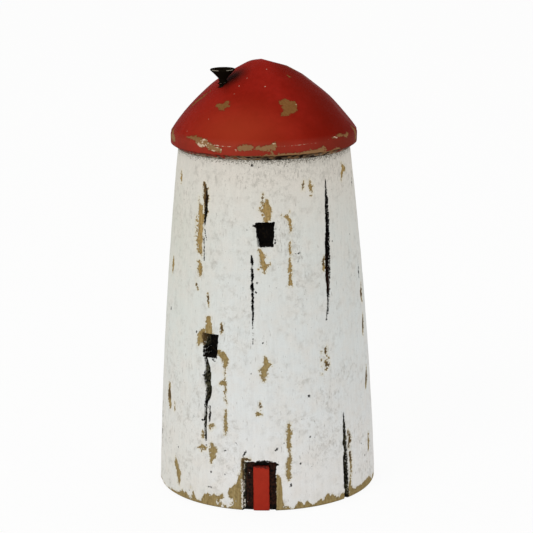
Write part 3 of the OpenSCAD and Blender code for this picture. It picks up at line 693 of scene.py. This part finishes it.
def door_red():
    """Satin red, worn to a brown smear along the slip's edges, and darkened along its top by a painted
    shadow from the border's lip.
    """
    made, tree, paint, rag, mottle = red_paint_on_wood("satin_red_door", "A32D1C", "9B2719")
    rim = put(tree, "Attribute", attribute_name="rim").outputs["Fac"]
    # The same dark brown stands for wear on the edges and for painted shadow along the top
    rubbed = put(tree, "Math", (rag, 1.6, rim), operation="MULTIPLY_ADD")
    rubbed = put(tree, "MapRange", (rubbed, 0.55, 1.05, 0, 0.9))
    colour = put(tree, "MixRGB", (rubbed, paint, linear("3A1610")))
    return surfaced(made, mottle, 0.4, 0.1 * MM, {"Base Color": colour, "Roughness": 0.5, "IOR": 1.46,
                                                  "Specular IOR Level": 0.08})


door = door_slip()
door.data.materials.append(door_red())
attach(door, "root")
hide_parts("door")


# Roof dowel: a round peg of plain beech, bevelled at both ends and glued half in the tower and half in
# the roof. It is never seen, so the CAD's own solid stays, and only gets its wood.
def plain_beech():
    """Sanded beech: pale pinkish tan with short dark flecks 0.4 mm wide and 3 mm long up its length."""
    made, tree = new_material("plain_beech")
    place = put(tree, "TexCoord").outputs["Object"]
    stretched = put(tree, "Mapping", {"Vector": place, "Scale": (per(0.4), per(0.4), per(3))})
    fleck = put(tree, "TexNoise", {"Vector": stretched, "Scale": 1, "Detail": 3})
    fleck = put(tree, "MapRange", (fleck, 0.45, 0.7))
    colour = put(tree, "MixRGB", (fleck, linear("D2AE82"), linear("A97F55")))
    return surfaced(made, fleck, 0.3, 0.1 * MM, {"Base Color": colour, "Roughness": 0.65, "IOR": 1.5})


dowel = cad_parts["roof_dowel"]
dowel.data.materials.clear()
dowel.data.materials.append(plain_beech())


# Roof: a second block of the same wood, turned with a band and an undercut eave, then rounded with a
# knife that left soft flats on the dome. Its satin red paint has chipped off the rim and in two patches.
ROOF_R = 32.25
EAVE_H = 1.5
RIM_H = 4.1
RIM_ROUND = 0.9
DOME_H = 24.5
DOME_FULLNESS = 0.5
FLAT_CUT = 0.8
ROOF_COLUMNS = 480
SEAT_ROWS = 5
SEAT_MID_R = 18
DOME_ROWS = 120
BAND_Z = TOWER_H + EAVE_H + RIM_H

# Where the chimney's screw stands: degrees round, and share of the way down the dome. The head's shadow
# is painted on the red beside it, running a little way in the direction (x, y)
SCREW_SIDE = -53
SCREW_DOWN = 0.3
HEAD_SHADOW_RUN = (0.97, 0.24)

# The knife's flats: degrees round the dome, share of the way down it, depth as a share of FLAT_CUT
FLATS = [
    (116, 0.03, 1), (107, 0.13, 0.5), (97, 0.32, 0.7), (90, 0.72, 0.6), (-105, 0.16, 0.75),
    (-130, 0.01, 0.2), (-35, 0.06, 0.2), (25, 0.1, 0.2), (5, 0.3, 0.15), (154, 0.07, 0.75),
    (-160, 0.14, 0.5), (140, 0.3, 0.45), (-170, 0.33, 0.5), (-125, 0.4, 0.45), (125, 0.65, 0.45),
    (165, 0.68, 0.5), (-150, 0.7, 0.4),
]

# Chips in the red, as chains of places: degrees round, place down the roof (0 at the peak, 1 at the
# crease over the band, 1.2 at the band's lower edge), half width in mm
ROOF_CHIPS = [
    [(-37.6, 0.548, 0.7), (-34.4, 0.552, 1.1), (-31.4, 0.545, 1.4), (-29.4, 0.51, 0.8)],
    [(-33.2, 0.585, 0.7), (-30.6, 0.585, 0.8)], [(-28.6, 0.54, 1.1), (-25.8, 0.545, 0.5)],
    [(20.4, 0.495, 0.9), (24.4, 0.5, 1.3), (29.4, 0.525, 1.5)], [(24.6, 0.51, 1.6), (24.8, 0.58, 1.8)],
    [(28.6, 0.52, 1.4), (28.2, 0.585, 1.3)], [(22.2, 0.56, 1.1)],
    [(18.8, 0.63, 0.8), (22.4, 0.615, 1.2), (26.2, 0.6, 1.3)], [(30.6, 0.54, 1), (32.4, 0.53, 0.5)],
    [(-54, 0.97, 0.15), (-49, 0.97, 0.4), (-43, 0.965, 0.6)],
    [(-43, 0.965, 0.7), (-38.5, 0.99, 1.25), (-34.4, 1.01, 1.4)],
    [(-34.4, 1.01, 1.1), (-30.4, 1.055, 1.1), (-27.4, 1.09, 1), (-23.6, 1.105, 0.6)],
    [(-38, 1.03, 0.4), (-35.4, 1.06, 0.5)], [(-10.4, 1.055, 0.75), (-4, 1.05, 0.8)],
    [(-0.4, 1.065, 0.5), (4, 1.055, 0.85), (9.2, 1.05, 0.95)], [(9.8, 1.02, 0.5), (10.2, 0.985, 0.3)],
    [(8.6, 1.1, 0.5), (8.8, 1.15, 0.3)],
    [(-4, 1.2, 0.25), (3, 1.195, 0.5), (12, 1.19, 0.75), (22, 1.185, 0.75), (34, 1.178, 0.85),
     (43, 1.17, 0.6)], [(39, 1.145, 0.5), (41.4, 1.14, 0.9), (43.6, 1.15, 0.5)],
    [(-20, 1.2, 0.16), (-12, 1.2, 0.2)], [(46, 1.19, 0.3), (58, 1.185, 0.4)],
    [(50.4, 0.975, 0.3), (51.6, 0.995, 0.4)], [(54, 0.968, 0.2), (58, 0.975, 0.5), (61, 0.97, 0.3)],
    [(62, 0.99, 0.4), (67, 0.985, 0.5)], [(-78, 0.96, 0.8), (-74, 1.03, 1.4), (-68, 1.075, 0.9)],
    [(80, 0.93, 0.8), (82.5, 1.02, 1.5), (81.6, 1.13, 0.9)],
    [(-78, 0.66, 0.25), (-73, 0.56, 0.6), (-69, 0.48, 0.5), (-64, 0.4, 0.2)],
    [(79, 0.09, 0.2), (77, 0.15, 0.3)], [(46, 0.185, 0.16), (47.4, 0.21, 0.3)],
    [(122, 0.42, 1.2), (126, 0.45, 1.9), (129, 0.5, 1.2)], [(171, 0.61, 1.5), (176, 0.63, 1.1)],
    [(214, 0.36, 1.1), (219, 0.38, 1.6)], [(96, 1, 0.6), (108, 1.02, 0.9), (117, 1.06, 0.7)],
    [(138, 1.16, 0.5), (150, 1.19, 0.9), (161, 1.17, 0.6)],
    [(176, 0.98, 0.5), (188, 1.01, 1.1), (194, 1.05, 0.8)], [(209, 1.18, 0.5), (226, 1.19, 0.8)],
    [(238, 0.97, 0.4), (247, 1, 0.9)], [(262, 1.08, 0.8), (266, 1.12, 0.6)],
]

# Flecks of white primer that show at the chips' edges and along the worn crease; the thin lines along the
# crease in front are also a painted highlight
PRIMER = [
    [(-39, 1.05, 0.4), (-37, 1.07, 0.55)], [(-36, 1.05, 0.34), (-34.8, 1.068, 0.4)], [(-36.4, 1.02, 0.3)],
    [(-37.4, 1, 0.26)], [(-35.8, 0.975, 0.36), (-34.2, 0.97, 0.3)], [(-31.6, 1.015, 0.32)],
    [(-33.6, 1.04, 0.28), (-33, 1.06, 0.2)], [(-31.4, 1.085, 0.24)], [(-39.8, 1.01, 0.2)], [(-32.6, 1, 0.2)],
    [(-30.2, 1.03, 0.18)], [(-32.4, 0.972, 0.28)], [(-38.8, 1.03, 0.12)],
    [(-28.8, 1.12, 0.2), (-27.4, 1.128, 0.26)], [(-26.4, 1.12, 0.2)], [(-22.3, 1.1, 0.28)],
    [(-24.2, 1.075, 0.16), (-26.6, 1.065, 0.14)],
    # Thin pale lines along the crease in front: worn primer and a painted highlight
    [(-30, 1.03, 0.06), (-21.5, 1.042, 0.04), (-14.5, 1.04, 0.02)],
    [(13, 1.036, -0.06), (27, 1.026, -0.02), (42, 1.008, -0.05)], [(9.4, 0.985, 0.2), (10.4, 0.99, 0.16)],
    [(-13.2, 1.085, 0.2), (-12.8, 1.105, 0.12)], [(46.3, 1, 0.3)],
    [(50.6, 0.968, 0.22), (53.4, 0.985, 0.3), (55, 1, 0.16)], [(36.4, 1.02, 0.14)],
    [(52.8, 1.125, 0.16), (53, 1.155, 0.2)], [(11.4, 0.103, 0.24)], [(-20.7, 0.207, 0.24)],
    [(5.9, 0.296, 0.18)], [(-25.9, 0.303, 0.18)], [(-26.7, 0.399, 0.16)], [(-39, 0.72, 0.2)],
    [(-53.7, 0.905, 0.2)], [(32.8, 0.533, 0.26)], [(13, 1.035, 0.14)], [(18.2, 0.56, 0.12)],
    [(21.8, 0.66, 0.12)], [(104, 1.03, 0.3)], [(112, 1.04, 0.25)], [(186, 0.99, 0.3)], [(192, 1.06, 0.3)],
    [(246, 0.98, 0.25)], [(150, 1.03, 0.05), (172, 1.035, 0.08)], [(205, 1.035, 0.08), (230, 1.03, 0.05)],
    [(175, 0.6, 0.2)],
]


def dome_r(t):
    """Radius of the dome at a share t of the way down: part cone, t, and part ellipse, sqrt(t (2 - t))."""
    return ROOF_R * ((1 - DOME_FULLNESS) * t + DOME_FULLNESS * np.sqrt(t * (2 - t)))


def dome_z(t):
    """Height of the dome at a share t of the way down, in even steps."""
    return BAND_Z + DOME_H * (1 - t)


def dome_slope(t):
    """Steepness of the dome at t, in radians."""
    return np.arctan2(DOME_H * 0.02, dome_r(t + 0.01) - dome_r(t - 0.01))


def roof_shell():
    """The roof as rings from the dowel's socket, out along the seat and the eave's bevel, up the band,
    round its worn edge and up the dome. Points over a knife's flat are eased down to its plane."""
    rim_turn = math.pi / 2 - dome_slope(0.97)
    corner = RIM_ROUND / 2
    turn = np.linspace(0, rim_turn, 9)
    t = np.linspace(0, 1, DOME_ROWS + 2)[1:-1][::-1] ** 1.5
    t = t[dome_r(t) < ROOF_R - RIM_ROUND * (1 - math.cos(rim_turn))]
    bevel = np.linspace(0, 1, 7)[1:]
    band = np.linspace(TOWER_H + EAVE_H + corner, BAND_Z - RIM_ROUND, 22)[1:-1]
    lower = np.radians(np.linspace(30, 90, 3)) - math.radians(90)
    r = np.concatenate([[SOCKET_R * 0.5, SOCKET_R, SOCKET_R, SEAT_MID_R, NECK_R],
                        NECK_R + (ROOF_R - corner - NECK_R) * bevel,
                        ROOF_R - corner + corner * np.cos(lower), np.full(len(band), ROOF_R),
                        ROOF_R - RIM_ROUND * (1 - np.cos(turn)), dome_r(t)])
    z = np.concatenate([[TOWER_H + SOCKET_CUT, TOWER_H + SOCKET_CUT, TOWER_H, TOWER_H, TOWER_H],
                        TOWER_H + EAVE_H * bevel, TOWER_H + EAVE_H + corner + corner * np.sin(lower), band,
                        BAND_Z - RIM_ROUND + RIM_ROUND * np.sin(turn), dome_z(t)])
    side = np.linspace(-180, 180, ROOF_COLUMNS + 1)[:-1]
    down = np.where(z > BAND_Z, 1 - (z - BAND_Z) / DOME_H, 1 + 0.2 * (BAND_Z - z) / RIM_H)
    length = np.concatenate([[0], np.cumsum(np.hypot(np.diff(r), np.diff(z)))])
    from_peak = length[-1] - length
    a = side * np.ones((len(r), 1))
    run, ring_r, ring_z = [v[:, None] * np.ones_like(a) for v in (from_peak, r, z)]
    order = np.argsort(down[SEAT_ROWS:]) + SEAT_ROWS

    def at(chains):
        """The same chains with their place down the roof as mm along its outline from the peak."""
        return [[(s, float(np.interp(d, down[order], from_peak[order])), w) for s, d, w in chain]
                for chain in chains]

    # Chips, primer and wood: listed ones, random dots of primer, and an eave that is worn in front
    coarse, fine = ripple(a, run, 2.8, 1.5, 31), ripple(a, run, 1.3, 0.8, 32)
    chips = brushed(a, run, ring_r, at(ROOF_CHIPS)) + 0.35 * coarse + 0.15 * fine
    primer = brushed(a, run, ring_r, at(PRIMER)) + 0.08 * fine
    dice = np.random.default_rng(33)
    dots = [[(s, d, w)] for s, d, w in zip(dice.uniform(-180, 180, 40), dice.uniform(0.3, 1.15, 40),
                                           dice.uniform(0, 0.1, 40))]
    primer = np.maximum(primer, brushed(a, run, ring_r, at(dots)))
    eave = (ring_z < TOWER_H + EAVE_H + corner * 0.6) & (ring_r > SOCKET_R + 1)
    rubbed = ramp(abs(apart(a, 20)), 46, 24)
    chips = np.where(eave, 0.3 * coarse + 0.8 * rubbed - 0.3, chips)
    chips[:SEAT_ROWS] = 2

    # Painted shadow of the screw's head on the dome beside it, painted shade and dirt under the eave, a
    # painted pool of light low on the front left, and painted shade on the right side and along the left
    # edge
    from_screw = around(a, ring_r, ring_z) - around(SCREW_SIDE, dome_r(SCREW_DOWN), 0)
    along = from_screw @ (HEAD_SHADOW_RUN[0], HEAD_SHADOW_RUN[1], 0)
    beside = from_screw @ (-HEAD_SHADOW_RUN[1], HEAD_SHADOW_RUN[0], 0)
    head_shadow = np.exp(-(beside / 3.8) ** 2) * ramp(along, 11, 4) * ramp(along, -1.5, 1.2) * (ring_z > BAND_Z)
    out_share = (ring_r - NECK_R) / (ROOF_R - NECK_R)
    # Painted shade, with dirt, along the eave's bevel under the overhang
    eave_shade_and_dirt = np.where(eave, 0.45 + 0.4 * np.exp(-(((a - 14) / 16) ** 2)) + 0.5 * coarse + 0.4 * fine, 0)
    primer = np.where(eave, 0.35 - 0.9 * out_share + 0.5 * coarse + 0.3 * fine, primer)
    # A painted pool of light low on the front left, and painted shade on the right side and the left edge
    warm = np.exp(-(((a + 14) / 34) ** 2) - ((down[:, None] - 0.84) / 0.3) ** 2)
    brown = (ramp(a, 14, 68) * ramp(a, 185, 140) + 0.3 * ramp(a, -40, -80)
             + 0.6 * ramp(a, -70, -92) * ramp(a, -140, -110))

    # Brushing leaves the red a little uneven, and the knife's flats are cut through it
    waves = 0.07 * ripple(a, run, 14, 5, 34) + 0.03 * ripple(a, run, 5, 2.4, 35) - 0.1
    out = ring_r + (waves - PAINT_T * ramp(chips, -0.1, 0.15)) * ramp(ring_r, SOCKET_R + 1, NECK_R)
    points = around(a, out, ring_z + np.where(ring_z > BAND_Z, 0.6 * waves, 0))
    for place, share, depth in FLATS:
        lean = dome_slope(share)
        normal = around(place, math.sin(lean), math.cos(lean))
        foot = around(place, dome_r(share), dome_z(share)) - normal * depth * FLAT_CUT
        over = (points - foot) @ normal
        points = points - np.maximum(over + 0.04, 0)[..., None] * normal * (ring_z > BAND_Z - 1)[..., None]
    peak = points[-1].mean(axis=0)
    return closed_shell("roof_painted", points, (0, 0, TOWER_H + SOCKET_CUT), (0, 0, peak[2]), bare=chips,
                        primer=primer, warm=warm, brown=brown, grime=np.maximum(0.9 * head_shadow, eave_shade_and_dirt))


def roof_red():
    """Satin red, chipped to grey-brown wood with flecks of primer. Painted light makes it more orange low in
    front, and painted shade makes it browner on the right and along its left edge. A painted shadow of the
    screw's head darkens it beside the screw, and painted shade with dust darkens it under the eave."""
    made, tree, paint, rag, mottle = red_paint_on_wood("satin_red_roof", "911E15", "84170D")
    place = put(tree, "TexCoord").outputs["Object"]
    warm, brown, grime, worn, fleck = [put(tree, "Attribute", attribute_name=n).outputs["Fac"]
                                       for n in ("warm", "brown", "grime", "bare", "primer")]
    warm, brown = [put(tree, "MapRange", (v, 0, 1, 0, most)) for v, most in ((warm, 0.8), (brown, 0.75))]

    # The band is a little hazed, and the wood in its chips is paler than the dome's
    height = put(tree, "SeparateXYZ", (place,)).outputs["Z"]
    hazed, pale = [put(tree, "MapRange", (height, (BAND_Z + 1.5) * MM, (BAND_Z - 0.5) * MM, 0, most))
                   for most in (0.06, 0.3)]
    bare_in = put(tree, "Math", (rag, 2.4, worn), operation="MULTIPLY_ADD")
    bare = put(tree, "MapRange", (bare_in, -0.03, 0.06))
    edge = put(tree, "MapRange", (bare_in, -0.5, 0, 0, 0.45))
    # Painted light turns the low front orange, and painted shade turns the right side and the left edge
    # brown
    for share, tint in ((warm, "9C341E"), (brown, "611004"), (hazed, "B58A72"), (edge, "5A2A18")):
        paint = put(tree, "MixRGB", (share, paint, linear(tint)))
    grain = put(tree, "Mapping", {"Vector": place, "Scale": (per(0.5), per(0.5), per(7))})
    grain = put(tree, "TexNoise", {"Vector": grain, "Scale": 1, "Detail": 4})
    wood = put(tree, "MixRGB", (grain, linear("69421F"), linear("8A6138")))
    wood = put(tree, "MixRGB", (pale, wood, linear("B0906E")))
    colour = put(tree, "MixRGB", (bare, paint, wood))
    fleck = put(tree, "Math", (rag, 0.9, fleck), operation="MULTIPLY_ADD")
    fleck = put(tree, "MapRange", (fleck, -0.04, 0.1, 0, 0.85))
    # Near black over all: the screw head's painted shadow, and painted shade with dirt under the eave
    for share, tint in ((fleck, "D0BBA2"), (grime, "1C100B")):
        colour = put(tree, "MixRGB", (share, colour, linear(tint)))

    # Relief in mm: the broken edge of the paint and its mottle
    relief = put(tree, "Math", (bare, -0.1), operation="MULTIPLY")
    relief = put(tree, "Math", (mottle, 0.06, relief), operation="MULTIPLY_ADD")
    gloss = put(tree, "MapRange", (bare, 0, 1, 0.5, 0.85))
    return surfaced(made, relief, 0.5, MM, {"Base Color": colour, "Roughness": gloss, "IOR": 1.46,
                                            "Specular IOR Level": 0.01})


roof = roof_shell()
roof.data.materials.append(roof_red())
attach(roof, "root")
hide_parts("roof")


# Chimney: a drywall screw of hardened steel with a black phosphate skin, driven into the roof until its
# flared head stands clear. It has a rolled right-hand thread, a sharp point and a cross recess.
HEAD_R = 4.2
HEAD_H = 3.6
HEAD_CURVE = 1.15
HEAD_EDGE = 0.35
THREAD_R = 1.75
CORE_R = 1.2
THREAD_PITCH = 1.25
SCREW_L = 25
TIP_L = 4
SCREW_OUT = 5.1
SCREW_LEAN = 1.5
LEAN_SIDE = -10
SEEN_SIDE = -86
CROSS_SPAN = 4.2
CROSS_SLOT = 1.1
CROSS_DEPTH = 1.7
SCREW_COLUMNS = 96
SHANK_ROWS = 304


def screw_shell():
    """The screw as rings from its point to the middle of its recess. The shank's radius is the core plus
    a ridge that climbs one pitch a turn, with sides at 60 degrees. Rings on the head's face sink where
    they cross either slot, whose ends slope in."""
    turn = np.linspace(0, 2 * math.pi, SCREW_COLUMNS + 1)[:-1]
    shank = np.linspace(-SCREW_L + 0.05, -HEAD_H, SHANK_ROWS)
    z = shank[:, None] * np.ones_like(turn)
    phase = np.mod(z / THREAD_PITCH - turn / (2 * math.pi), 1) - 0.5
    side = (THREAD_R - CORE_R) * math.tan(math.radians(30)) / THREAD_PITCH
    ridge = np.clip(1.12 - abs(phase) / side, 0, 1)
    fade = ramp(shank, -SCREW_L, -SCREW_L + TIP_L) * ramp(shank, -HEAD_H + 0.1, -HEAD_H - 0.5)
    core = CORE_R * np.minimum(1, (shank + SCREW_L) / TIP_L)
    r = core[:, None] + (THREAD_R - CORE_R) * ridge * fade[:, None]

    up = np.linspace(0, 1, 26)[1:]
    flare_r = CORE_R + (HEAD_R - CORE_R) * up**HEAD_CURVE
    flare_z = -HEAD_H + (HEAD_H - HEAD_EDGE) * up
    curl = np.radians(np.linspace(0, 90, 6))[1:]
    soft, dense = 0.12, 2.3
    edge_r = np.concatenate([[HEAD_R, HEAD_R], HEAD_R - soft + soft * np.cos(curl)])
    edge_z = np.concatenate([[-HEAD_EDGE * 0.6, -soft], -soft + soft * np.sin(curl)])
    face_r = np.concatenate([np.linspace(HEAD_R - soft, dense, 8)[1:], np.linspace(dense, 0.08, 34)[1:]])
    plain_r = np.concatenate([flare_r, edge_r, face_r])[:, None] * np.ones_like(turn)
    plain_z = np.concatenate([flare_z, edge_z, np.zeros(len(face_r))])[:, None] * np.ones_like(turn)
    r, z = np.concatenate([r, plain_r]), np.concatenate([z, plain_z])
    x, y = r * np.cos(turn), r * np.sin(turn)
    half, foot = CROSS_SPAN / 2, CROSS_SLOT * 0.7
    slots = [ramp(CROSS_SLOT / 2 - abs(v), -0.06, 0.06) * np.clip((half - abs(u)) / (half - foot), 0, 1)
             for u, v in ((x, y), (y, x))]
    face = np.zeros_like(z)
    face[-len(face_r):] = 1
    z = z - CROSS_DEPTH * np.maximum(*slots) * face

    # Wear and painted highlights: arcs of the head's rim, and the thread's crests on the side that faces
    # front, bare steel placed where they glint
    from_front = abs(apart(np.degrees(turn), SEEN_SIDE - LEAN_SIDE))
    arcs = ramp(from_front, 14, 22) * ramp(from_front, 64, 54) + 0.5 * ramp(from_front, 120, 150)
    worn = ramp(abs(np.hypot(r - HEAD_R, z)), 0.3, 0.02) * arcs
    crest_glint = ramp(r, THREAD_R - 0.16, THREAD_R - 0.02) * (z < -HEAD_H) * ramp(from_front, 70, 30)
    worn = np.maximum(worn, 0.36 * crest_glint)

    # From the screw's own axis to its place: down from the dome's peak, leant, and left standing proud
    way, down = math.radians(SCREW_SIDE), SCREW_DOWN
    place = (Matrix.Rotation(way, 4, "Z") @ Matrix.Translation((0, -dome_r(down), dome_z(down)))
             @ Matrix.Rotation(math.radians(LEAN_SIDE) - way, 4, "Z")
             @ Matrix.Rotation(math.radians(SCREW_LEAN), 4, "X") @ Matrix.Translation((0, 0, SCREW_OUT)))
    move = np.array(place)
    points = np.stack([x, y, z], -1) @ move[:3, :3].T + move[:3, 3]
    tip, middle = place @ Vector((0, 0, -SCREW_L)), place @ Vector((0, 0, -CROSS_DEPTH))
    return closed_shell("screw_threaded", points, tuple(tip), tuple(middle), edge=worn)


def black_phosphate():
    """Black phosphate on steel, lightly oiled: a matt charcoal crystal skin, rubbed to bright steel in arcs
    of the head's rim and on the crests of the thread. The bright steel is placed where these glint from the
    front, so it is painted highlight as well as wear."""
    made, tree = new_material("black_phosphate_steel")
    place = put(tree, "TexCoord").outputs["Object"]
    crystal = put(tree, "TexNoise", {"Vector": place, "Scale": per(0.25), "Detail": 4, "Roughness": 0.6})
    skin = put(tree, "MixRGB", (crystal, linear("080604"), linear("1B150E")))
    rim = put(tree, "Attribute", attribute_name="edge").outputs["Fac"]
    patch = put(tree, "TexNoise", {"Vector": place, "Scale": per(0.9), "Detail": 2})
    # Bare steel on the worn, glinting places: wear and painted highlight
    rubbed = put(tree, "Math", (patch, 0.8, rim), operation="MULTIPLY_ADD")
    rubbed = put(tree, "MapRange", (rubbed, 0.75, 1.1))
    colour = put(tree, "MixRGB", (rubbed, skin, linear("8A8273")))
    return surfaced(made, crystal, 0.35, 0.05 * MM, {"Base Color": colour, "Metallic": rubbed,
                                                     "Roughness": 0.5, "Specular IOR Level": 0})


screw = screw_shell()
screw.data.materials.append(black_phosphate())
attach(screw, "root")
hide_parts("chimney_screw")


# Stage: a plain white floor that reads as white to the camera and still keeps a soft shadow.
FLOOR_HALF = 4
SHADOW_SHARE = 0.09


def seen_rays(tree):
    """1 for rays that look: from the camera, off a shiny face or through a clear one. 0 for the rest."""
    rays = put(tree, "LightPath").outputs
    seen = put(tree, "Math", (rays["Is Camera Ray"], rays["Is Glossy Ray"]), operation="MAXIMUM")
    return put(tree, "Math", (seen, rays["Is Transmission Ray"]), operation="MAXIMUM")


def white_floor():
    """A white sheet. Rays that look get it mostly as even white light."""
    made, tree = new_material("white_sheet")
    glowing = put(tree, "Math", (seen_rays(tree), 1 - SHADOW_SHARE), operation="MULTIPLY")
    sheet = put(tree, "BsdfDiffuse", (linear("F2F2F0"),))
    glow = put(tree, "Emission", {"Color": (1, 1, 1, 1), "Strength": 1})
    put(tree, "OutputMaterial", (put(tree, "MixShader", (glowing, sheet, glow)),))
    return made


sheet = bpy.data.meshes.new("floor")
sheet.from_pydata([(x * FLOOR_HALF, y * FLOOR_HALF, 0) for x, y in ((-1, -1), (1, -1), (1, 1), (-1, 1))], [],
                  [(0, 1, 2, 3)])
floor = placed("floor", sheet)
floor.data.materials.append(white_floor())


# Light: one large soft lamp high on the left, and an even white room that fills the shadows.
FILL = 0.8
KEY_POWER = 5
KEY_SIZE = 0.6
KEY_PLACE = Vector((-0.72, -1.05, 1.1))
KEY_AIM = Vector((0, 0, 0.07))

world = bpy.data.worlds.new("white_room")
bpy.context.scene.world = world
world.use_nodes = True
room = world.node_tree
room.nodes.clear()
level = put(room, "MapRange", (seen_rays(room), 0, 1, FILL, 1))
put(room, "OutputWorld", (put(room, "Background", {"Color": (1, 1, 1, 1), "Strength": level}),))

lamp = bpy.data.lights.new("key", "AREA")
lamp.energy = KEY_POWER
lamp.size = KEY_SIZE
key = placed("key", lamp)
key.location = KEY_PLACE
key.rotation_euler = (KEY_AIM - KEY_PLACE).to_track_quat("-Z", "Y").to_euler()


# Camera: a long lens a little above the roof's rim, nearly square to the door.
CAMERA_FAR = 661.3
CAMERA_UP = math.radians(13.36)
CAMERA_SIDE = math.radians(3.9)
CAMERA_AIM_Z = 76.75
CAMERA_SHIFT = 0.41
CAMERA_ROLL = 0.011
LENS = 127.1
SENSOR_W = 36

outward = Vector((math.sin(CAMERA_SIDE), -math.cos(CAMERA_SIDE), 0))
back = outward * math.cos(CAMERA_UP) + Vector((0, 0, math.sin(CAMERA_UP)))
right = Vector((math.cos(CAMERA_SIDE), math.sin(CAMERA_SIDE), 0))
above = back.cross(right)
place = Vector((0, 0, CAMERA_AIM_Z)) + back * CAMERA_FAR + right * CAMERA_SHIFT
turned_right = right * math.cos(CAMERA_ROLL) - above * math.sin(CAMERA_ROLL)
turned_above = right * math.sin(CAMERA_ROLL) + above * math.cos(CAMERA_ROLL)
eye = bpy.data.cameras.new("camera")
eye.lens = LENS
eye.sensor_width = SENSOR_W
camera = placed("camera", eye)
pose = Matrix((turned_right, turned_above, back)).transposed().to_4x4()
pose.translation = place * MM
camera.matrix_world = pose
bpy.context.scene.camera = camera
bpy.context.scene.view_settings.view_transform = "Standard"
